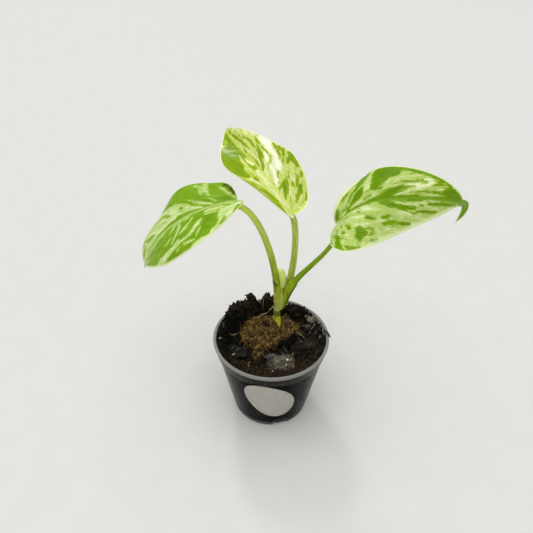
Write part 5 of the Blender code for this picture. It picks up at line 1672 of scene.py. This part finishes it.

# Loose bits seen one by one on the mix: roots, slivers, woody crumbs and perlite. Each is a way of
# (right, back, lift above what it lies on) in mm, with its width and thickness. Those on the stalks,
# marked with a slot, are given at their true heights.
looseBits = {
    "paleRoots": {
        "colours": ("#5a4a2e", "#9c8a62", "#cdbd94"), "roughness": 0.6,
        "bits": (
            (((20.0, 5.2, 0.7), (23.4, 7.8, 1.7), (27.0, 10.6, 1.5)), 0.42, 0.42),
            (((-22.6, 3.8, 0.4), (-20.4, 3.5, 0.9), (-18.0, 4.8, 0.8)), 0.55, 0.45),
            (((13.5, 3.8, 0.4), (14.7, 2.4, 0.9), (15.4, 1.2, 0.6), (17.2, -0.1, 0.4)), 0.5, 0.45),
            (((14.8, 4.0, 0.5), (16.4, 3.9, 1.2), (17.6, 3.2, 0.9), (18.8, 2.6, 0.4)), 0.4, 0.4),
            (((12.2, 6.4, 0.4), (13.2, 4.8, 1.1), (14.6, 4.6, 0.5)), 0.35, 0.35),
            (((-4.6, 19.4, 0.4), (-4.0, 21.4, 0.8), (-4.4, 23.0, 0.4)), 0.5, 0.5),
            (((-6.9, 14.6, 0.5), (-5.0, 16.2, 1.4), (-3.2, 17.4, 1.4), (-1.0, 18.6, 0.5)), 0.75, 0.6),
            (((-12.6, 12.4, 0.5), (-9.4, 14.6, 1.0), (-6.6, 15.4, 0.5)), 0.4, 0.4),
            (((-12.5, -7.6, 0.5), (-13.8, -5.6, 0.9), (-13.6, -3.2, 0.5)), 0.35, 0.35)
        )
    },
    "tanStrands": {
        "colours": ("#45301c", "#8c6a4a", "#c4a27e"), "roughness": 0.55,
        "bits": (
            (((11.0, -9.0, 0.5), (10.9, -11.4, 1.3), (9.6, -13.4, 1.2), (8.0, -14.8, 0.6)), 0.5, 0.35),
            (((-13.4, -18.6, 0.3), (-11.6, -17.2, 0.8), (-10.2, -16.8, 0.4)), 1.3, 0.7),
            (((-12.4, -16.0, 0.3), (-11.0, -15.4, 0.7), (-10.2, -13.6, 0.3)), 0.7, 0.5),
            (((9.2, -21.4, 0.3), (10.4, -20.9, 0.8), (11.8, -21.0, 0.3)), 1.2, 0.8),
            (((-3.4, -21.0, 0.4), (-2.2, -20.6, 0.8), (-1.2, -21.1, 0.4)), 0.8, 0.6),
            (((1.8, -20.8, 0.3), (2.8, -20.2, 0.8), (3.4, -19.0, 0.3)), 0.7, 0.5),
            (((24.4, -1.4, 0.3), (25.4, -0.4, 0.9), (26.4, 0.9, 0.4)), 0.9, 0.6),
            (((-27.0, -3.2, 0.3), (-26.0, -2.6, 0.8), (-25.4, -1.8, 0.3)), 0.9, 0.7),
            (((-19.8, -13.4, 0.4), (-18.6, -12.4, 0.9), (-17.8, -11.0, 0.4)), 1.1, 0.7),
            (((-7.5, -22.2, 0.3), (-6.4, -21.8, 0.7), (-5.4, -22.0, 0.3)), 0.8, 0.6)
        )
    },
    "wetSlivers": {
        "colours": ("#050504", "#141412", "#34332e"), "roughness": 0.4,
        "bits": (
            (((3.9, -5.2, 0.6), (5.8, -7.8, 1.7), (8.4, -10.9, 0.7)), 1.7, 0.35),
            (((6.2, -5.0, 0.5), (7.4, -6.4, 1.2), (8.6, -8.4, 0.5)), 1.2, 0.3),
            (((27.6, 4.2, 1.6), (29.2, 0.8, 4.3), (30.4, -2.9, 4.2)), 1.4, 0.5),
            (((-23.0, -9.2, 0.5), (-22.2, -6.0, 1.2), (-20.8, -2.6, 0.5)), 1.0, 0.35),
            (((-20.8, -8.4, 0.4), (-18.8, -6.8, 1.1), (-16.0, -4.6, 0.5)), 1.2, 0.35),
            (((-18.4, -9.6, 0.4), (-16.8, -8.4, 0.9), (-14.8, -7.8, 0.4)), 1.1, 0.4),
            (((-24.6, 9.6, 0.4), (-25.4, 7.0, 1.2), (-25.2, 4.2, 0.4)), 1.3, 0.4),
            (((-5.4, -14.4, 0.6), (-1.8, -12.4, 1.3), (2.2, -10.4, 0.6)), 1.5, 0.5),
            (((-5.0, -12.0, 0.6), (-1.0, -9.8, 1.4), (2.8, -8.4, 0.6)), 1.3, 0.4),
            (((-3.6, -16.4, 0.5), (-0.6, -15.0, 1.1), (1.8, -14.6, 0.5)), 1.2, 0.4),
            (((14.8, -17.6, 0.5), (17.4, -15.0, 1.2), (20.6, -12.6, 0.5)), 1.4, 0.5),
            (((19.8, -16.8, 0.4), (22.0, -13.4, 1.0), (23.6, -10.0, 0.4)), 1.2, 0.4),
            (((20.4, 1.4, 0.5), (23.4, 3.2, 1.2), (26.4, 6.2, 0.5)), 1.4, 0.45)
        )
    },
    "barkFlake": {
        "colours": ("#453e33", "#756a59", "#9a8f7d"), "roughness": 0.7,
        "bits": ((((18.6, 14.6, 1.6), (22.2, 13.4, 1.8), (26.0, 12.2, 1.4)), 5.4, 0.8),)
    },
    "driedScar": {
        "colours": ("#1c1406", "#3a2a12", "#54401e"), "roughness": 0.6, "slot": "stalk",
        "bits": ((((0.4, 7.4, 76.8), (1.3, 6.8, 75.5), (2.2, 6.4, 74.6), (3.0, 6.6, 73.8)), 1.5, 0.6),)
    },
    "paperyCurl": {
        "colours": ("#6c663c", "#969060", "#b8b084"), "roughness": 0.5, "slot": "stalk",
        "bits": ((((-1.3, 9.2, 56.2), (-0.4, 9.0, 56.7), (0.6, 9.2, 57.9), (1.2, 9.6, 59.2)), 1.0, 0.3),)
    },
    "perlite": {
        "colours": ("#b9b4a8", "#e6e2d8", "#ffffff"), "roughness": 0.35,
        "bits": (
            (((-8.4, 25.9, 0.8), (-7.5, 26.1, 1.3), (-6.7, 26.2, 0.8)), 1.7, 1.4),
            (((-5.6, 26.4, 0.9), (-5.0, 26.6, 1.3), (-4.4, 26.8, 0.8)), 1.2, 1.1),
            (((17.2, 21.6, 0.9), (18.0, 21.3, 1.3), (18.9, 20.8, 0.8)), 1.5, 1.2),
            (((7.4, -17.4, 0.6), (7.8, -17.2, 1.0), (8.2, -17.0, 0.6)), 0.8, 0.8),
            (((6.9, -19.8, 0.4), (7.1, -19.5, 0.7), (7.3, -19.2, 0.4)), 0.5, 0.5),
            (((17.0, -0.4, 0.5), (17.4, -0.1, 0.9), (17.8, 0.2, 0.5)), 0.7, 0.6),
            (((-16.0, -15.0, 0.5), (-15.6, -14.8, 0.8), (-15.2, -14.5, 0.5)), 0.6, 0.5),
            (((-7.1, -20.9, 0.4), (-6.7, -20.7, 0.7), (-6.3, -20.6, 0.4)), 0.7, 0.5),
            (((0.0, -21.8, 0.4), (0.5, -21.6, 0.7), (1.0, -21.6, 0.4)), 0.6, 0.5)
        )
    }
}


def dryBit(name, colours, roughness):
    # Dried root, torn bark or puffed perlite: streaky along the piece, chalky or wet as its finish says.
    material, add = newMaterial(name)
    place = add("TexCoord").outputs["Object"]
    shade = add("TexNoise", {"Scale": 900.0, "Detail": 4.0, "Roughness": 0.7, "Vector": place})
    stops = tuple(zip((0.38, 0.5, 0.64), colours))
    colour = add("ValToRGB", {"stops": stops, "Fac": shade})
    finish = add(
        "MapRange", {**noiseSpan, "To Min": roughness, "To Max": roughness + 0.25, "Value": shade}
    )
    relief = add("Bump", {"Strength": 0.5, "Distance": 0.1 * mm, "Height": shade})
    shader = add("BsdfPrincipled", {
        "IOR": 1.45, "Specular IOR Level": 0.4, "Base Color": colour, "Roughness": finish,
        "Normal": relief
    })
    add("OutputMaterial", {"Surface": shader})
    return material


def bentStrip(way, width, thickness, steps=16, sides=8):
    # a tapering strip or root through its points, rough edged
    t = np.linspace(0.0, len(way) - 1, steps)
    curve = eased(spreadOut(t, np.arange(len(way)), np.array(way)), 3)
    taper = np.clip(np.sin(np.linspace(0.0, math.pi, steps)), 0.02, None) ** 0.45
    taper = taper * (1.0 + 0.22 * roughness3d(curve, 0.7, 5)) / 2.0
    rings = tubeRings(curve, (0.05, 0.02, 1.0), taper * width, taper * thickness, sides)
    return rings.reshape(-1, 3), ringFaces(steps, sides)


def groundFinder(things):
    # how high the first thing under a place is, in mm
    trees = []
    for thing in things:
        shape = bmesh.new()
        shape.from_mesh(thing.data)
        trees.append(BVHTree.FromBMesh(shape))
        shape.free()

    def ground(x, y):
        hits = [
            tree.ray_cast(Vector((x * mm, y * mm, 0.2)), Vector((0.0, 0.0, -1.0)))[0] for tree in trees
        ]
        tops = [hit.z / mm for hit in hits if hit is not None]
        return max(tops) if tops else 44.0

    return ground


ground = groundFinder([mixBody, plugBody, *chips])
for name, make in looseBits.items():
    strips = []
    for way, width, thickness in make["bits"]:
        levels = [z if "slot" in make else ground(x, y) + z for x, y, z in way]
        strips.append(bentStrip([(x, y, z) for (x, y, _), z in zip(way, levels)], width, thickness))
    points, faces = joinedPoints(strips)
    mesh = outwardMesh(meshFrom(name, points, faces, merge=0.001))
    material = dryBit("dry " + name, make["colours"], make["roughness"])
    piece = finished(newObject(name, mesh), material, 60.0)
    handOver(piece, make.get("slot", "potting_mix"))
print("loose bits laid")

# Floor, light and camera. The camera was fitted to the photo: 27 mm on a 36 mm wide square picture.
studio = {
    "floorSize": 600.0, "floorColour": "#d6d5d1", "worldColour": "#e9ebee", "worldStrength": 0.42,
    # each light: strength, width in degrees, then its turn from straight down about X, Y and Z
    "lights": {
        "key": (2.0, 80.0, (2.0, -8.0, 0.0)), "fill": (0.45, 90.0, (50.0, 0.0, 20.0)),
        "back": (0.5, 10.0, (-44.0, 0.0, 17.0))
    },
    "lens": 27.02, "pitch": 33.9006, "roll": 0.3657, "place": (-2.64, -153.2, 192.9)
}


def makeStudio():
    half = studio["floorSize"] / 2
    mesh = bpy.data.meshes.new("floor")
    corners = [(-half, -half, 0.0), (half, -half, 0.0), (half, half, 0.0), (-half, half, 0.0)]
    mesh.from_pydata(corners, [], [(0, 1, 2, 3)])
    # Sealed paper backdrop: plain, pale and matt.
    material, add = newMaterial("backdrop paper")
    place = add("TexCoord").outputs["Object"]
    mottle = add("TexNoise", {"Scale": 60.0, "Detail": 4.0, "Vector": place})
    colour = add("ValToRGB", {"stops": ((0.3, "#d3d2ce"), (0.7, studio["floorColour"])), "Fac": mottle})
    shader = add("BsdfPrincipled", {"Roughness": 0.85, "Base Color": colour})
    add("OutputMaterial", {"Surface": shader})
    mesh.materials.append(material)
    newObject("floor", mesh)
    scene = bpy.context.scene
    world = bpy.data.worlds.new("studio")
    world.use_nodes = True
    scene.world = world
    background = world.node_tree.nodes["Background"]
    background.inputs["Color"].default_value = linearColour(studio["worldColour"])
    background.inputs["Strength"].default_value = studio["worldStrength"]
    for lightName, (strength, width, turns) in studio["lights"].items():
        light = bpy.data.lights.new(lightName, "SUN")
        light.energy = strength
        light.angle = math.radians(width)
        lamp = bpy.data.objects.new(lightName, light)
        lamp.rotation_euler = [math.radians(turn) for turn in turns]
        scene.collection.objects.link(lamp)
    camera = bpy.data.cameras.new("camera")
    camera.lens = studio["lens"]
    camera.sensor_width = 36.0
    camera.clip_start = 0.01
    camera.clip_end = 1000.0
    eye = bpy.data.objects.new("camera", camera)
    scene.collection.objects.link(eye)
    pitch, roll = math.radians(studio["pitch"]), math.radians(studio["roll"])
    ahead = Vector((0.0, math.cos(pitch), -math.sin(pitch)))
    level = Vector((1.0, 0.0, 0.0))
    above = Vector((0.0, math.sin(pitch), math.cos(pitch)))
    right = level * math.cos(roll) + above * math.sin(roll)
    up = above * math.cos(roll) - level * math.sin(roll)
    turned = Matrix((right, up, -ahead)).transposed().to_4x4()
    eye.matrix_world = Matrix.Translation(Vector(studio["place"]) * mm) @ turned
    scene.camera = eye
    scene.view_settings.view_transform = "Standard"


makeStudio()
print("studio made")
